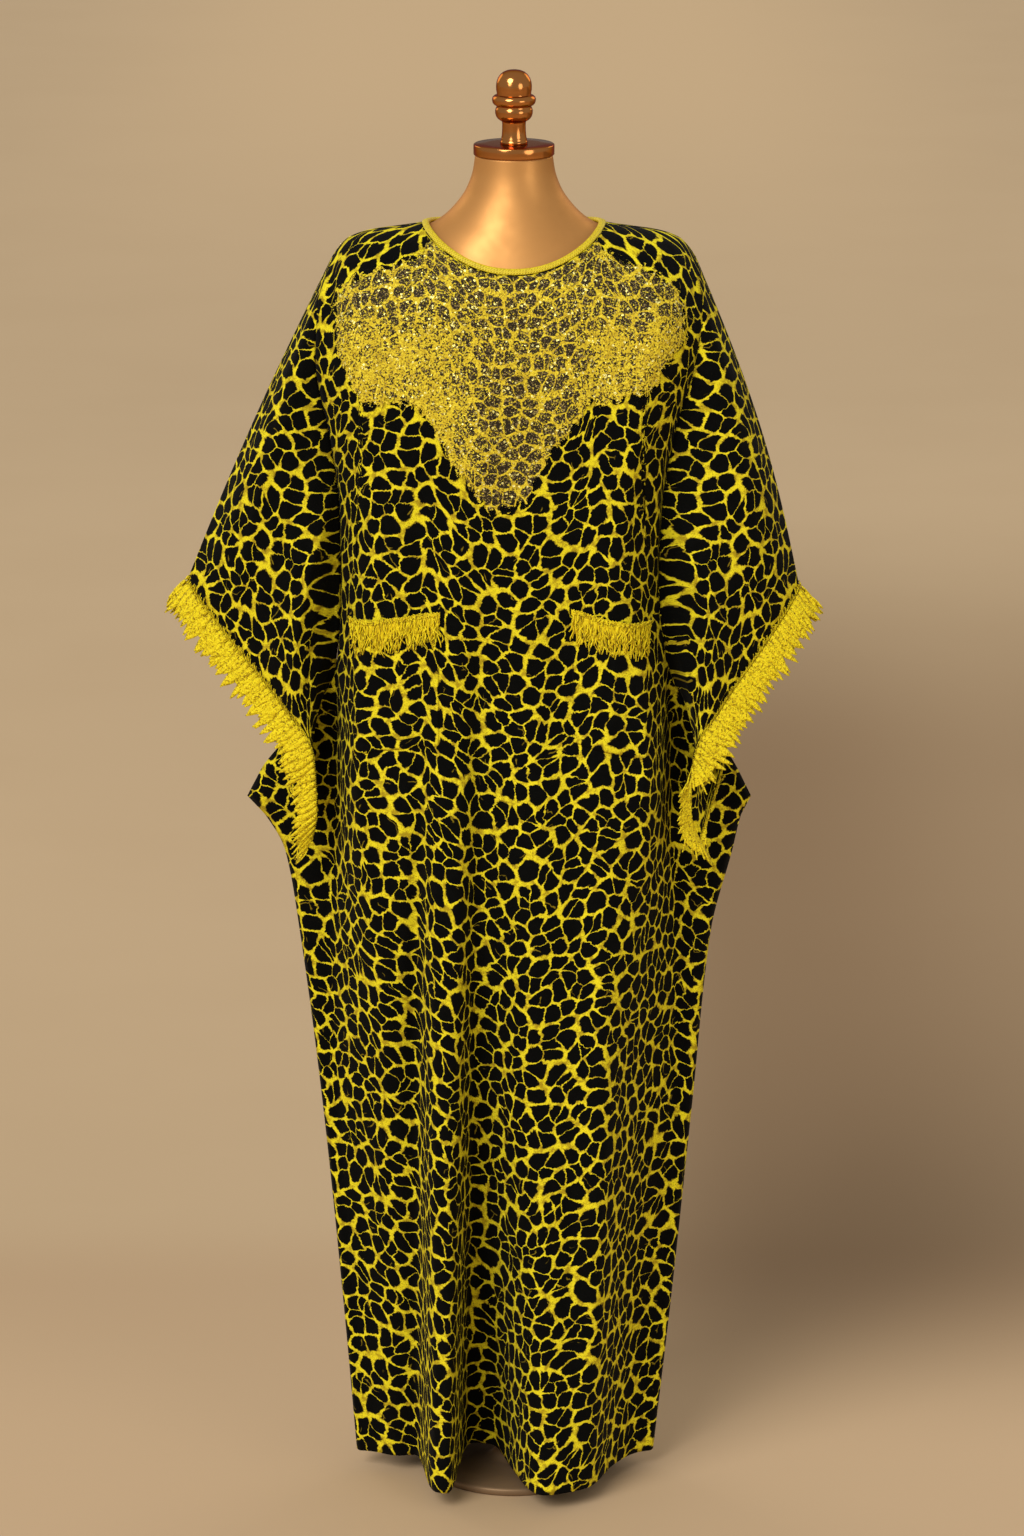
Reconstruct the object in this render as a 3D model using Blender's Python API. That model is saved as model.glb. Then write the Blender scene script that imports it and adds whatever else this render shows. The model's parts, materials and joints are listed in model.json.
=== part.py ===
"""A grand boubou robe worn by a limbless dress form on a round foot.

The robe is cut as a front, a back and two wide sleeves, and hangs open at the neck, the cuffs
and the hem. A yoke of glitter lace lies on the front, a binding finishes the neck, pointed lace
edges both cuffs and a fringe hangs over the mouth of each patch pocket. Every piece of cloth is a
wall between an outer surface and the same surface moved inwards, and neighbours stop a hair's
breadth short of each other at their seam. X runs to the wearer's left, -Y is the front, +Z is up,
and the origin is the middle of the foot's underside. Sizes are in metres.
"""

import math

import bmesh
import bpy
import numpy as np
from mathutils import Vector
from mathutils.bvhtree import BVHTree

# Cloth, seams and the way the robe sits on the form
CLOTH = 0.0020
LACE = 0.0016
TRIM = 0.0016
SEAM_GAP = 0.0003
SEAM_SETBACK = 0.0004
CREASE_LIMIT = 0.6
SHOULDER_LEAN = (0.85, 0.50)
REST_GAP = 0.0011
HEM_HEIGHT = 0.022
SHOULDER_END = 0.205
SHOULDER_END_HEIGHT = 1.448
NECK_HALF_WIDTH = 0.097

# Mesh density
FRONT_COLUMNS = (6, 25, 6)
BACK_COLUMNS = (4, 16, 4)
SLEEVE_COLUMNS = 6
CUFF_POINTS = 48
NECK_STEPS = 40
FORM_STEPS = 22
TURNED_STEPS = 18
SPREAD_STEPS = 900
BEND_WEIGHT = 0.014
COLUMN_BLEND_ROWS = (3, 11)
COLUMN_SMOOTHING = 6
WING_COLUMNS = 3
WING_INSET = 0.018
ROW_SEARCH_STEPS = 900
MERGE_DISTANCE = 0.0001

# The robe from hem to shoulder. left and right are where the front and back panels end: at the
# side seams up to the underarm, and along the armholes above it. valley is how far the cloth
# stands forward and back along the armhole. The raised middle begins at start_left and
# start_right, takes soft to rise, and stands front and back deep.
SECTION_COLUMNS = (
    "height", "left", "right", "valley", "start_left", "start_right", "soft", "front", "back",
)
SECTIONS = (
    (0.022, -0.186, 0.165, 0.008, -0.178, 0.157, 0.130, 0.026, 0.052),
    (0.210, -0.201, 0.185, 0.008, -0.190, 0.172, 0.110, 0.048, 0.066),
    (0.450, -0.223, 0.208, 0.008, -0.206, 0.186, 0.085, 0.083, 0.090),
    (0.660, -0.248, 0.228, 0.008, -0.212, 0.189, 0.060, 0.108, 0.106),
    (0.757, -0.264, 0.252, 0.008, -0.208, 0.184, 0.045, 0.115, 0.112),
    (0.800, -0.287, 0.262, 0.008, -0.206, 0.182, 0.038, 0.117, 0.114),
    (0.822, -0.307, 0.273, 0.008, -0.205, 0.181, 0.034, 0.118, 0.115),
    (0.855, -0.290, 0.257, 0.007, -0.205, 0.181, 0.032, 0.119, 0.115),
    (0.890, -0.262, 0.235, 0.003, -0.204, 0.180, 0.032, 0.120, 0.115),
    (0.925, -0.232, 0.205, 0.014, -0.203, 0.178, 0.034, 0.121, 0.115),
    (0.980, -0.203, 0.176, 0.030, -0.203, 0.176, 0.038, 0.123, 0.114),
    (1.080, -0.196, 0.164, 0.042, -0.196, 0.164, 0.042, 0.127, 0.112),
    (1.170, -0.197, 0.167, 0.050, -0.197, 0.167, 0.046, 0.131, 0.112),
    (1.260, -0.208, 0.181, 0.058, -0.208, 0.181, 0.052, 0.131, 0.113),
    (1.340, -0.222, 0.203, 0.064, -0.222, 0.203, 0.060, 0.124, 0.112),
    (1.400, -0.220, 0.211, 0.066, -0.220, 0.211, 0.066, 0.114, 0.106),
    (1.448, -0.205, 0.205, 0.066, -0.205, 0.205, 0.070, 0.106, 0.100),
)

# Heights of the mesh rows along the sides, close together where the cloth turns over the shoulder
UNDERARM_HEIGHT = 0.890
ROW_HEIGHTS = (
    1.448, 1.4455, 1.438, 1.425, 1.405, 1.375, 1.335, 1.285, 1.225, 1.160, 1.090, 1.020, 0.965,
    0.925, 0.904, 0.890, 0.855, 0.822, 0.800, 0.757, 0.680, 0.590, 0.490, 0.380, 0.265,
    0.150, 0.080, 0.022,
)

# The line of the form's shoulders, from the neck outwards
SHOULDER_COLUMNS = ("out", "height")
SHOULDER_LINE = (
    (0.0435, 1.5650), (0.0460, 1.5480), (0.0530, 1.5280), (0.0660, 1.5090), (0.0820, 1.4940),
    (0.0970, 1.4860), (0.1350, 1.4800), (0.1600, 1.4765), (0.1850, 1.4685), (0.1970, 1.4575),
    (0.2050, 1.4455),
)

# How the cloth turns from the shoulder line into the front and the back, how much flatter it lies
# towards the sides, and how far from the side seams the folds die out
FRONT_TURN = 0.100
BACK_TURN = 0.085
CROWN = 0.16
FOLD_EDGE = 0.016

# The neck opening: how high its lowest points lie at the front and the back, the height that the
# turn of the cloth would reach over the neck, and the shape of the curve between
NECK_FRONT_HEIGHT = 1.450
NECK_BACK_HEIGHT = 1.480
NECK_CREST = 0.014
NECK_CURVE = 2.2
BINDING_WIDTH = 0.0075
BINDING_LIP = 0.0012
BINDING_ROWS = (BINDING_WIDTH, BINDING_WIDTH / 2, 0.0, -BINDING_LIP)

# Folds of the skirt: where each crest runs at its top and at the hem, its half width at both,
# how far it stands out at both, the height where it starts, and how square its crest is
FOLD_COLUMNS = (
    "side", "x_top", "x_hem", "half_top", "half_hem", "out_top", "out_hem", "start", "square",
)
FOLDS = (
    ("front", -0.070, -0.085, 0.030, 0.0215, 0.004, 0.128, 1.200, 4.0),
    ("front", 0.058, 0.052, 0.095, 0.0520, 0.010, 0.128, 1.000, 4.0),
    ("front", 0.118, 0.112, 0.030, 0.0260, 0.000, 0.052, 0.780, 2.6),
    ("front", -0.140, -0.142, 0.024, 0.0200, 0.000, 0.014, 0.760, 2.2),
    ("front", 0.012, 0.020, 0.018, 0.0160, 0.006, 0.000, 1.150, 2.2),
    ("front", -0.128, -0.122, 0.020, 0.0180, 0.006, 0.000, 1.320, 2.2),
    ("front", 0.110, 0.104, 0.018, 0.0180, 0.007, 0.000, 1.320, 2.2),
    ("back", -0.118, -0.118, 0.040, 0.0280, 0.000, 0.064, 0.980, 2.6),
    ("back", -0.034, -0.030, 0.050, 0.0320, 0.004, 0.082, 1.100, 3.0),
    ("back", 0.052, 0.050, 0.046, 0.0280, 0.004, 0.072, 1.100, 2.8),
    ("back", 0.122, 0.112, 0.034, 0.0220, 0.000, 0.046, 0.860, 2.4),
)
FOLD_GROWTH = 1.35
FOLD_RISE = 0.15
HEM_LIFT = 0.016
HEM_LIFT_PLACE = -0.038
HEM_LIFT_HALF_WIDTH = 0.026
HEM_LIFT_REACH = 0.20

# The left cuff opening: its front and its back edge from the tip on the shoulder line down to the
# underarm point where they meet. share is how far down the armhole the same thread begins. The
# right cuff is the mirror image, a little narrower and lower
CUFF_COLUMNS = ("share", "x", "y", "height")
CUFF_EDGES = {
    "front": (
        (0.00, -0.372, 0.000, 1.078), (0.10, -0.353, -0.022, 1.055), (0.26, -0.320, -0.042, 1.016),
        (0.51, -0.262, -0.066, 0.947), (0.71, -0.226, -0.078, 0.890), (0.88, -0.223, -0.076, 0.826),
        (1.00, -0.231, -0.063, 0.787),
    ),
    "back": (
        (0.00, -0.372, 0.000, 1.078), (0.10, -0.353, 0.022, 1.055), (0.30, -0.322, 0.038, 1.018),
        (0.60, -0.284, 0.046, 0.974), (0.84, -0.264, 0.038, 0.944), (0.93, -0.263, 0.022, 0.926),
        (0.97, -0.268, -0.004, 0.903), (0.99, -0.260, -0.034, 0.862), (1.00, -0.231, -0.063, 0.787),
    ),
}
CUFF_SPREAD = {"left": (1.0, 1.0), "right": (-0.875, -0.910)}
CUFF_DROP = {"left": 0.0, "right": 0.008}
UNDERARM_FORWARD = 0.014
UNDERARM_SHARE = 0.85
ARMHOLE_OUT = 0.016
ARMHOLE_OUT_SHARE = 0.45
SLEEVE_BOW = {"left": 0.006, "right": 0.013}
SLEEVE_PUFF = 0.026
PUFF_REACH = 1.25
PUFF_SQUARE = 0.7
SLEEVE_FOLD = 0.007
SLEEVE_FOLD_COUNT = 2.5
# Which way the cuff lace points, at the tip, half way down, at the knee and at the bottom
LACE_WAY_COLUMNS = ("along", "out", "forward", "down")
LACE_WAYS = (
    (0.00, 0.62, 0.00, 0.78), (0.35, 0.76, 0.10, 0.64), (0.68, 0.93, 0.12, 0.36),
    (0.86, 0.96, 0.12, 0.28), (1.00, 0.55, 0.10, 0.83),
)
CUFF_LACE_WIDTH = 0.026
CUFF_POINT_LENGTH = 0.015
CUFF_POINT_TAPER = 0.22
LACE_TUCK = 0.55
LACE_TUCK_SHARE = 0.975
LACE_TUCK_REACH = 0.055

# Glitter yoke: how low and how high it reaches across the chest
OVERLAY_LIFT = 0.0009
YOKE_COLUMNS = ("x", "low", "high")
YOKE_OUTLINE = (
    (-0.1960, 1.3720, 1.4160), (-0.1880, 1.3450, 1.4300), (-0.1750, 1.3080, 1.4400),
    (-0.1500, 1.2960, 1.4450), (-0.1200, 1.3010, 1.4520), (-0.0950, 1.2780, 1.4600),
    (-0.0650, 1.2260, 1.4600), (-0.0400, 1.1940, 1.4600), (-0.0180, 1.1780, 1.4600),
    (0.0080, 1.1860, 1.4600), (0.0320, 1.2280, 1.4600), (0.0600, 1.2680, 1.4600),
    (0.0900, 1.2980, 1.4600), (0.1200, 1.3030, 1.4520), (0.1500, 1.3130, 1.4450),
    (0.1720, 1.3420, 1.4360), (0.1880, 1.3600, 1.4180), (0.1960, 1.3740, 1.4020),
)
YOKE_NECK_MARGIN = 0.0025

# Patch pockets and the fringe over their mouths: inner and outer end along X, and their heights
POCKET_COLUMNS = ("name", "x_from", "x_to", "mouth_from", "mouth_to")
POCKETS = (
    ("left", -0.181, -0.084, 1.058, 1.063),
    ("right", 0.066, 0.150, 1.063, 1.052),
)
POCKET_DEPTH = 0.150
POCKET_CLOTH = 0.0012
FRINGE_HEADER = 0.009
FRINGE_LENGTH = 0.036
FRINGE_STRANDS = 24
FRINGE_OVERHANG = 0.004
FRINGE_TAPER = 0.55
FRINGE_SWING = 0.0018

# Form below the shoulders: half width, half depth in front and behind, and the heights of the
# ring's sides, front and back
FORM_COLUMNS = ("half_width", "front", "back", "side_height", "front_height", "back_height")
FORM_RINGS = (
    (0.0435, 0.0435, 0.0435, 1.5650, 1.5650, 1.5650),
    (0.0460, 0.0450, 0.0450, 1.5480, 1.5480, 1.5480),
    (0.0530, 0.0500, 0.0480, 1.5280, 1.5250, 1.5270),
    (0.0660, 0.0590, 0.0540, 1.5090, 1.5010, 1.5030),
    (0.0820, 0.0690, 0.0600, 1.4940, 1.4800, 1.4840),
    (0.0970, 0.0780, 0.0660, 1.4860, 1.4600, 1.4680),
    (0.1350, 0.0880, 0.0750, 1.4800, 1.4340, 1.4480),
    (0.1600, 0.0940, 0.0820, 1.4765, 1.4060, 1.4200),
    (0.1790, 0.0990, 0.0880, 1.4640, 1.3700, 1.3850),
    (0.1800, 0.1060, 0.0920, 1.4250, 1.3250, 1.3400),
    (0.1680, 0.1120, 0.0960, 1.3400, 1.2600, 1.2700),
    (0.1480, 0.1080, 0.0900, 1.2300, 1.1900, 1.1800),
    (0.1280, 0.0900, 0.0780, 1.0800, 1.0800, 1.0800),
    (0.1420, 0.0960, 0.0880, 0.9700, 0.9700, 0.9700),
    (0.1560, 0.1000, 0.0960, 0.8700, 0.8700, 0.8700),
    (0.1540, 0.0980, 0.0940, 0.8000, 0.8000, 0.8000),
)
FORM_WALL = 0.004
FORM_FLOOR = 0.006

# Cap and finial on the neck, and the pole and foot below
CAP_RADIUS = 0.0455
CAP_THICKNESS = 0.0120
CAP_BEVEL = 0.0008
FINIAL_COLUMNS = ("radius", "height")
FINIAL = (
    (0.0150, 0.0000), (0.0153, 0.0045), (0.0144, 0.0060), (0.0134, 0.0220), (0.0150, 0.0245),
    (0.0196, 0.0300), (0.0216, 0.0365), (0.0204, 0.0415), (0.0238, 0.0445), (0.0246, 0.0490),
    (0.0232, 0.0530), (0.0196, 0.0550), (0.0203, 0.0620), (0.0196, 0.0700), (0.0160, 0.0770),
    (0.0095, 0.0815), (0.0000, 0.0830),
)
POLE_RADIUS = 0.0125
POLE_TOP = 0.860
FOOT_PROFILE = (
    (0.0000, 0.0000), (0.0980, 0.0000), (0.1000, 0.0020), (0.1000, 0.0070), (0.0970, 0.0095),
    (0.0300, 0.0150), (0.0220, 0.0260), (0.0180, 0.0400), (0.0000, 0.0400),
)

COLOURS = {
    "print": ((0.020, 0.018, 0.012), 0.85, 0.0),
    "yoke": ((0.620, 0.500, 0.060), 0.45, 0.3),
    "lace": ((0.850, 0.640, 0.020), 0.75, 0.0),
    "binding": ((0.830, 0.680, 0.050), 0.70, 0.0),
    "form": ((0.620, 0.360, 0.120), 0.38, 0.7),
    "copper": ((0.480, 0.200, 0.060), 0.16, 1.0),
    "steel": ((0.160, 0.130, 0.100), 0.45, 0.8),
}


def smooth_read(rows, columns, name, at, key=None):
    """One column of a table, read at the places at, on a smooth curve that never overshoots."""
    key = key or columns[0]
    x = np.array([row[columns.index(key)] for row in rows], float)
    y = np.array([row[columns.index(name)] for row in rows], float)
    order = np.argsort(x)
    x, y = x[order], y[order]
    step = np.diff(x)
    slope = np.diff(y) / step
    tangent = np.zeros(len(x))
    tangent[0], tangent[-1] = slope[0], slope[-1]
    same_way = slope[:-1] * slope[1:] > 0
    mean = 2 * slope[:-1] * slope[1:] / np.where(same_way, slope[:-1] + slope[1:], 1)
    tangent[1:-1] = np.where(same_way, mean, 0)
    at = np.clip(np.asarray(at, float), x[0], x[-1])
    i = np.clip(np.searchsorted(x, at) - 1, 0, len(x) - 2)
    t = (at - x[i]) / step[i]
    rise = y[i] * (1 + 2 * t) * (1 - t) ** 2 + y[i + 1] * t**2 * (3 - 2 * t)
    return rise + step[i] * (tangent[i] * t * (1 - t) ** 2 + tangent[i + 1] * t**2 * (t - 1))


def section(name, height):
    return smooth_read(SECTIONS, SECTION_COLUMNS, name, height)


def quarter_round(share):
    """Rises from 0 to 1 as a quarter of a circle does."""
    return np.sqrt(np.clip(1 - (1 - np.clip(share, 0, 1)) ** 2, 0, 1))


def shoulder_height(x):
    """Height of the cloth's outer surface along the top of the shoulders."""
    out = np.abs(x)
    on_form = smooth_read(SHOULDER_LINE, SHOULDER_COLUMNS, "height", out)
    neck_side = smooth_read(SHOULDER_LINE, SHOULDER_COLUMNS, "height", NECK_HALF_WIDTH)
    over_neck = neck_side + NECK_CREST * (1 - (out / NECK_HALF_WIDTH) ** 2)
    return np.where(out < NECK_HALF_WIDTH, over_neck, on_form) + REST_GAP + CLOTH


def neckline_height(x, side):
    """Height of the neck opening's edge at x."""
    lowest = NECK_FRONT_HEIGHT if side == "front" else NECK_BACK_HEIGHT
    rise = shoulder_height(NECK_HALF_WIDTH) - lowest
    return lowest + rise * np.minimum(np.abs(x) / NECK_HALF_WIDTH, 1) ** NECK_CURVE


def top_height(x, side):
    inside_neck = np.abs(x) < NECK_HALF_WIDTH
    return np.where(inside_neck, neckline_height(x, side), shoulder_height(x))


def fold_out(x, height, side):
    """How far the folds of one side stand out at x and height."""
    out = np.zeros(np.broadcast(x, height).shape)
    for row in FOLDS:
        fold = dict(zip(FOLD_COLUMNS, row))
        if fold["side"] != side:
            continue
        down = np.clip((fold["start"] - height) / (fold["start"] - HEM_HEIGHT), 0, 1)
        grown = down**FOLD_GROWTH
        middle = fold["x_top"] + (fold["x_hem"] - fold["x_top"]) * down
        half = fold["half_top"] + (fold["half_hem"] - fold["half_top"]) * down
        reach = fold["out_top"] * np.minimum(down / FOLD_RISE, 1) * (1 - grown) + fold["out_hem"] * grown
        out = out + reach * np.exp(-(np.abs((x - middle) / half) ** fold["square"]))
    return out


def depth(x, height, side):
    """Distance of the cloth's outer surface from the plane through the side seams."""
    left, right = section("left", height), section("right", height)
    start_left, start_right = section("start_left", height), section("start_right", height)
    soft = section("soft", height)
    from_left = np.clip((x - start_left) / soft, 0, 1)
    from_right = np.clip((start_right - x) / soft, 0, 1)
    raised = np.sin(from_left * math.pi / 2) * np.sin(from_right * math.pi / 2)
    across = (2 * x - left - right) / (right - left)
    raised = raised * (1 - CROWN * across**2)
    edge = np.maximum(np.minimum(x - left, right - x), 0)
    valley = section("valley", height)
    closed = np.asarray(height) <= UNDERARM_HEIGHT
    low = valley * np.where(closed, quarter_round(edge / valley), 1)
    top = FRONT_TURN if side == "front" else BACK_TURN
    turn = quarter_round((shoulder_height(x) - height) / top)
    near_edge = np.where(closed, quarter_round(edge / FOLD_EDGE), 1)
    folds = fold_out(x, height, side) * near_edge * np.sqrt(np.clip(raised, 0, None))
    return (low + (section(side, height) - low) * raised) * turn + folds


def spread_columns(height, side, count):
    """Places across the panel at one height, closer together where the cloth bends, between the
    innermost of the columns that are kept for the wings under the arms."""
    ends = section("start_left", height) + WING_INSET, section("start_right", height) - WING_INSET
    x = np.linspace(float(ends[0]), float(ends[1]), SPREAD_STEPS)
    y = depth(x, np.full_like(x, height), side)
    dx, dy = np.diff(x), np.diff(y)
    weight = np.hypot(dx, dy)
    weight[1:] += np.abs(np.diff(np.unwrap(np.arctan2(dy, dx)))) * BEND_WEIGHT
    total = np.concatenate([[0], np.cumsum(weight)])
    return np.interp(np.linspace(0, total[-1], count + 1), total, x)


def place_columns(side, counts):
    """How far across each column lies at each row: even along the shoulders, and below them where
    the cloth bends. The outermost columns share out what lies beyond the others."""
    neck = NECK_HALF_WIDTH / SHOULDER_END
    even = np.concatenate([
        np.linspace(-1, -neck, counts[0] + 1)[:-1],
        neck * np.sin(np.linspace(-1, 1, counts[1] + 1) * math.pi / 2)[:-1],
        np.linspace(neck, 1, counts[2] + 1),
    ])
    heights = np.array(ROW_HEIGHTS)
    left, right = section("left", heights)[:, None], section("right", heights)[:, None]
    places = left + (right - left) * (even + 1) / 2
    first, last = COLUMN_BLEND_ROWS
    mix = np.clip((np.arange(len(heights)) - first) / (last - first), 0, 1)[:, None]
    mix = mix * mix * (3 - 2 * mix)
    inner = slice(WING_COLUMNS, -WING_COLUMNS)
    steps = sum(counts) - 2 * WING_COLUMNS
    spread = np.array([spread_columns(height, side, steps) for height in ROW_HEIGHTS])
    middle = places[:, inner] * (1 - mix) + spread * mix
    for _ in range(COLUMN_SMOOTHING):
        middle[first:-1] = (middle[first - 1 : -2] + 2 * middle[first:-1] + middle[first + 1 :]) / 4
    share = np.arange(WING_COLUMNS) / WING_COLUMNS
    beside_left = left + (middle[:, :1] - left) * share
    beside_right = middle[:, -1:] + (right - middle[:, -1:]) * (1 - share[::-1])
    places[:, inner] = middle
    places[:, :WING_COLUMNS] += (beside_left - places[:, :WING_COLUMNS]) * mix
    places[:, -WING_COLUMNS:] += (beside_right - places[:, -WING_COLUMNS:]) * mix
    return places


def panel_grid(side, counts):
    """Outer points of the front or the back, row by row from the shoulders down to the hem."""
    sign = -1 if side == "front" else 1
    span = SHOULDER_END_HEIGHT - HEM_HEIGHT
    places = place_columns(side, counts)
    grid = np.zeros((*places.shape, 3))
    for r, row_height in enumerate(ROW_HEIGHTS):
        x = places[r]
        up = (row_height - HEM_HEIGHT) / span
        z = HEM_HEIGHT + (top_height(x, side) - HEM_HEIGHT) * up
        z[0] = z[-1] = row_height
        y = sign * depth(x, z, side)
        if side == "front":
            near = np.exp(-(((x - HEM_LIFT_PLACE) / HEM_LIFT_HALF_WIDTH) ** 4))
            z = z + HEM_LIFT * near * np.clip(1 - (z - HEM_HEIGHT) / HEM_LIFT_REACH, 0, 1) ** 2
        grid[r] = np.stack([x, y, z], axis=1)
    return grid


def cuff_edge(side, layer, share):
    """Points of one cuff edge at shares of the way down the armhole."""
    rows = CUFF_EDGES[layer]
    x, y, z = (smooth_read(rows, CUFF_COLUMNS, c, share) for c in CUFF_COLUMNS[1:])
    at_tip, at_underarm = CUFF_SPREAD[side]
    spread = at_tip + (at_underarm - at_tip) * share
    return np.stack([x * spread, y, z - CUFF_DROP[side] * (1 - share)], axis=1)


def sleeve_grid(side, front, back):
    """Outer points of a sleeve, ring by ring from the armhole to the cuff. A ring runs from the
    underarm up the front, over the shoulder line and down the back."""
    column = 0 if side == "left" else -1
    underarm = ROW_HEIGHTS.index(UNDERARM_HEIGHT)
    arm_front = front[: underarm + 1, column]
    arm_back = back[: underarm + 1, column]
    length = np.concatenate([[0], np.cumsum(np.linalg.norm(np.diff(arm_front, axis=0), axis=1))])
    share = length / length[-1]
    cuff_front, cuff_back = cuff_edge(side, "front", share), cuff_edge(side, "back", share)
    arm = np.concatenate([arm_front[::-1], arm_back[1:-1]])
    end = np.concatenate([cuff_front[::-1], cuff_back[1:-1]])
    share = np.concatenate([share[::-1], share[1:-1]])
    way = np.concatenate([-np.ones(underarm), [0], np.ones(underarm - 1)])
    outward = -1 if side == "left" else 1
    low = np.clip((share - UNDERARM_SHARE) / (1 - UNDERARM_SHARE), 0, 1) ** 2
    beside = np.sin(np.clip((share - ARMHOLE_OUT_SHARE) / (1 - ARMHOLE_OUT_SHARE), 0, 1) * math.pi)
    rings = []
    for a in np.linspace(0, 1, SLEEVE_COLUMNS + 1):
        ring = arm * (1 - a) + end * a
        middle = max(math.sin(math.pi * a), 0)
        ring[:, 0] += outward * SLEEVE_BOW[side] * middle * np.cos(share * math.pi / 2) ** 2
        ring[:, 0] += outward * ARMHOLE_OUT * middle**0.5 * beside
        puff = SLEEVE_PUFF * middle * np.sin(np.clip(share * PUFF_REACH, 0, 1) * math.pi) ** PUFF_SQUARE
        wave = SLEEVE_FOLD * a * middle**0.5 * np.sin(share * SLEEVE_FOLD_COUNT * 2 * math.pi)
        ring[:, 1] += way * (puff + wave) - UNDERARM_FORWARD * middle**0.5 * low
        rings.append(ring)
    return np.array(rings)


def unit(vectors):
    return vectors / np.maximum(np.linalg.norm(vectors, axis=-1, keepdims=True), 1e-12)


def face_normals(grid, closed):
    """Unit normals of a grid's four-cornered faces; closed joins the last column to the first."""
    beside = np.roll(grid, -1, axis=1)
    normals = np.cross(beside[1:] - grid[:-1], grid[1:] - beside[:-1])
    return unit(normals if closed else normals[:, :-1])


def around_points(faces, closed):
    """The values of the four faces round each point of a grid, with zeros past its edges."""
    faces = np.pad(faces, ((1, 1), (0, 0), (0, 0)) if closed else ((1, 1), (1, 1), (0, 0)))
    if closed:
        before = np.roll(faces, 1, axis=1)
        return np.stack([faces[1:], faces[:-1], before[1:], before[:-1]])
    return np.stack([faces[1:, 1:], faces[:-1, 1:], faces[1:, :-1], faces[:-1, :-1]])


def grid_normals(grid, closed=False):
    """Unit normals of a grid's points, each the mean of the faces round it."""
    return unit(around_points(face_normals(grid, closed), closed).sum(axis=0))


def outward_normals(grid, closed=False):
    """Unit normals of a grid, turned away from the middle of each row."""
    normals = grid_normals(grid, closed)
    middle = grid.mean(axis=1, keepdims=True)
    return normals if (normals * (grid - middle)).sum() > 0 else -normals


def upright_normals(line, away):
    """Unit normals of a seam line, square to it and to Y, on the side that away points to."""
    along = np.gradient(line, axis=0)
    normals = unit(np.stack([along[:, 2], np.zeros(len(line)), -along[:, 0]], axis=1))
    return normals if (normals @ np.array(away)).sum() > 0 else -normals


def armhole_normals(line, side, forward, turn):
    """Unit normals down the front or the back of an armhole, square to its line: up and out at
    the shoulder, and straight forward or back below."""
    over = np.clip(1 - (line[0, 2] - line[:, 2]) / turn, 0, 1)
    outward = -1 if side == "left" else 1
    lean_out, lean_up = SHOULDER_LEAN
    normals = [outward * lean_out * over, forward * np.sqrt(1 - over**2), lean_up * over]
    normals = np.stack(normals, axis=1)
    along = unit(np.gradient(line, axis=0))
    return unit(normals - (normals * along).sum(-1, keepdims=True) * along)


def draw_back(edge, inside, normals):
    """Moves a grid's edge away from its seam, along the surface and towards the next line."""
    way = inside - edge
    way = way - (way * normals).sum(-1, keepdims=True) * normals
    edge += unit(way) * SEAM_SETBACK


def make_robe():
    """Outer points and outward normals of the front, the back and both sleeves. Where two of them
    meet, both edges get one normal, so that their walls end in faces that run side by side."""
    front = panel_grid("front", FRONT_COLUMNS)
    back = panel_grid("back", BACK_COLUMNS)
    sleeves = {side: sleeve_grid(side, front, back) for side in ("left", "right")}
    front_out, back_out = grid_normals(front), grid_normals(back)
    front_out *= -np.sign(front_out[..., 1].sum())
    back_out *= np.sign(back_out[..., 1].sum())
    sleeve_out = {side: outward_normals(sleeve, closed=True) for side, sleeve in sleeves.items()}

    underarm = ROW_HEIGHTS.index(UNDERARM_HEIGHT)
    shoulders = []
    for panel, out, counts in ((front, front_out, FRONT_COLUMNS), (back, back_out, BACK_COLUMNS)):
        for part in (slice(0, counts[0] + 1), slice(counts[0] + counts[1], sum(counts) + 1)):
            out[0, part] = upright_normals(panel[0, part], (0, 0, 1))
            shoulders.append((panel, out, part))
        for column, away in ((0, (-1, 0, 0)), (-1, (1, 0, 0))):
            out[underarm:, column] = upright_normals(panel[underarm:, column], away)
    for column, side in ((0, "left"), (-1, "right")):
        ring, steps = sleeve_out[side][0], underarm + 1
        down_front = armhole_normals(front[:steps, column], side, -1, FRONT_TURN)
        down_back = armhole_normals(back[:steps, column], side, 1, BACK_TURN)
        down_front[0] = down_back[0] = unit(down_front[0] + down_back[0])
        ring[1:steps] = down_front[:-1][::-1]
        ring[underarm:] = down_back[:-1]
        front_out[:underarm, column] = down_front[:-1]
        back_out[:underarm, column] = down_back[:-1]
        draw_back(sleeves[side][0], sleeves[side][1], ring)
    for panel, out in ((front, front_out), (back, back_out)):
        draw_back(panel[:, 0], panel[:, 1], out[:, 0])
        draw_back(panel[:, -1], panel[:, -2], out[:, -1])
    for panel, out, part in shoulders:
        draw_back(panel[0, part], panel[1, part], out[0, part])
    return front, back, sleeves, front_out, back_out, sleeve_out


def inner_points(grid, outward, thickness, closed=False):
    """The grid moved inwards, further where it is creased, so that the wall keeps its thickness."""
    faces = around_points(face_normals(grid, closed), closed)
    square = np.abs((faces * outward).sum(axis=-1))
    square = np.where(np.linalg.norm(faces, axis=-1) > 0.5, square, 1).min(axis=0)
    return grid - outward * (thickness / np.clip(square, CREASE_LIMIT, 1))[..., None]


def add_cloth(front, back, sleeves, front_out, back_out, sleeve_out):
    """The walls of the front, the back and both sleeves."""
    for name, grid, out in (("front_panel", front, front_out), ("back_panel", back, back_out)):
        add_wall(name, grid, inner_points(grid, out, CLOTH), "print")
    for side, grid in sleeves.items():
        inner = inner_points(grid, sleeve_out[side], CLOTH, closed=True)
        add_wall("sleeve_" + side, grid, inner, "print", closed=True)


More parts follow.
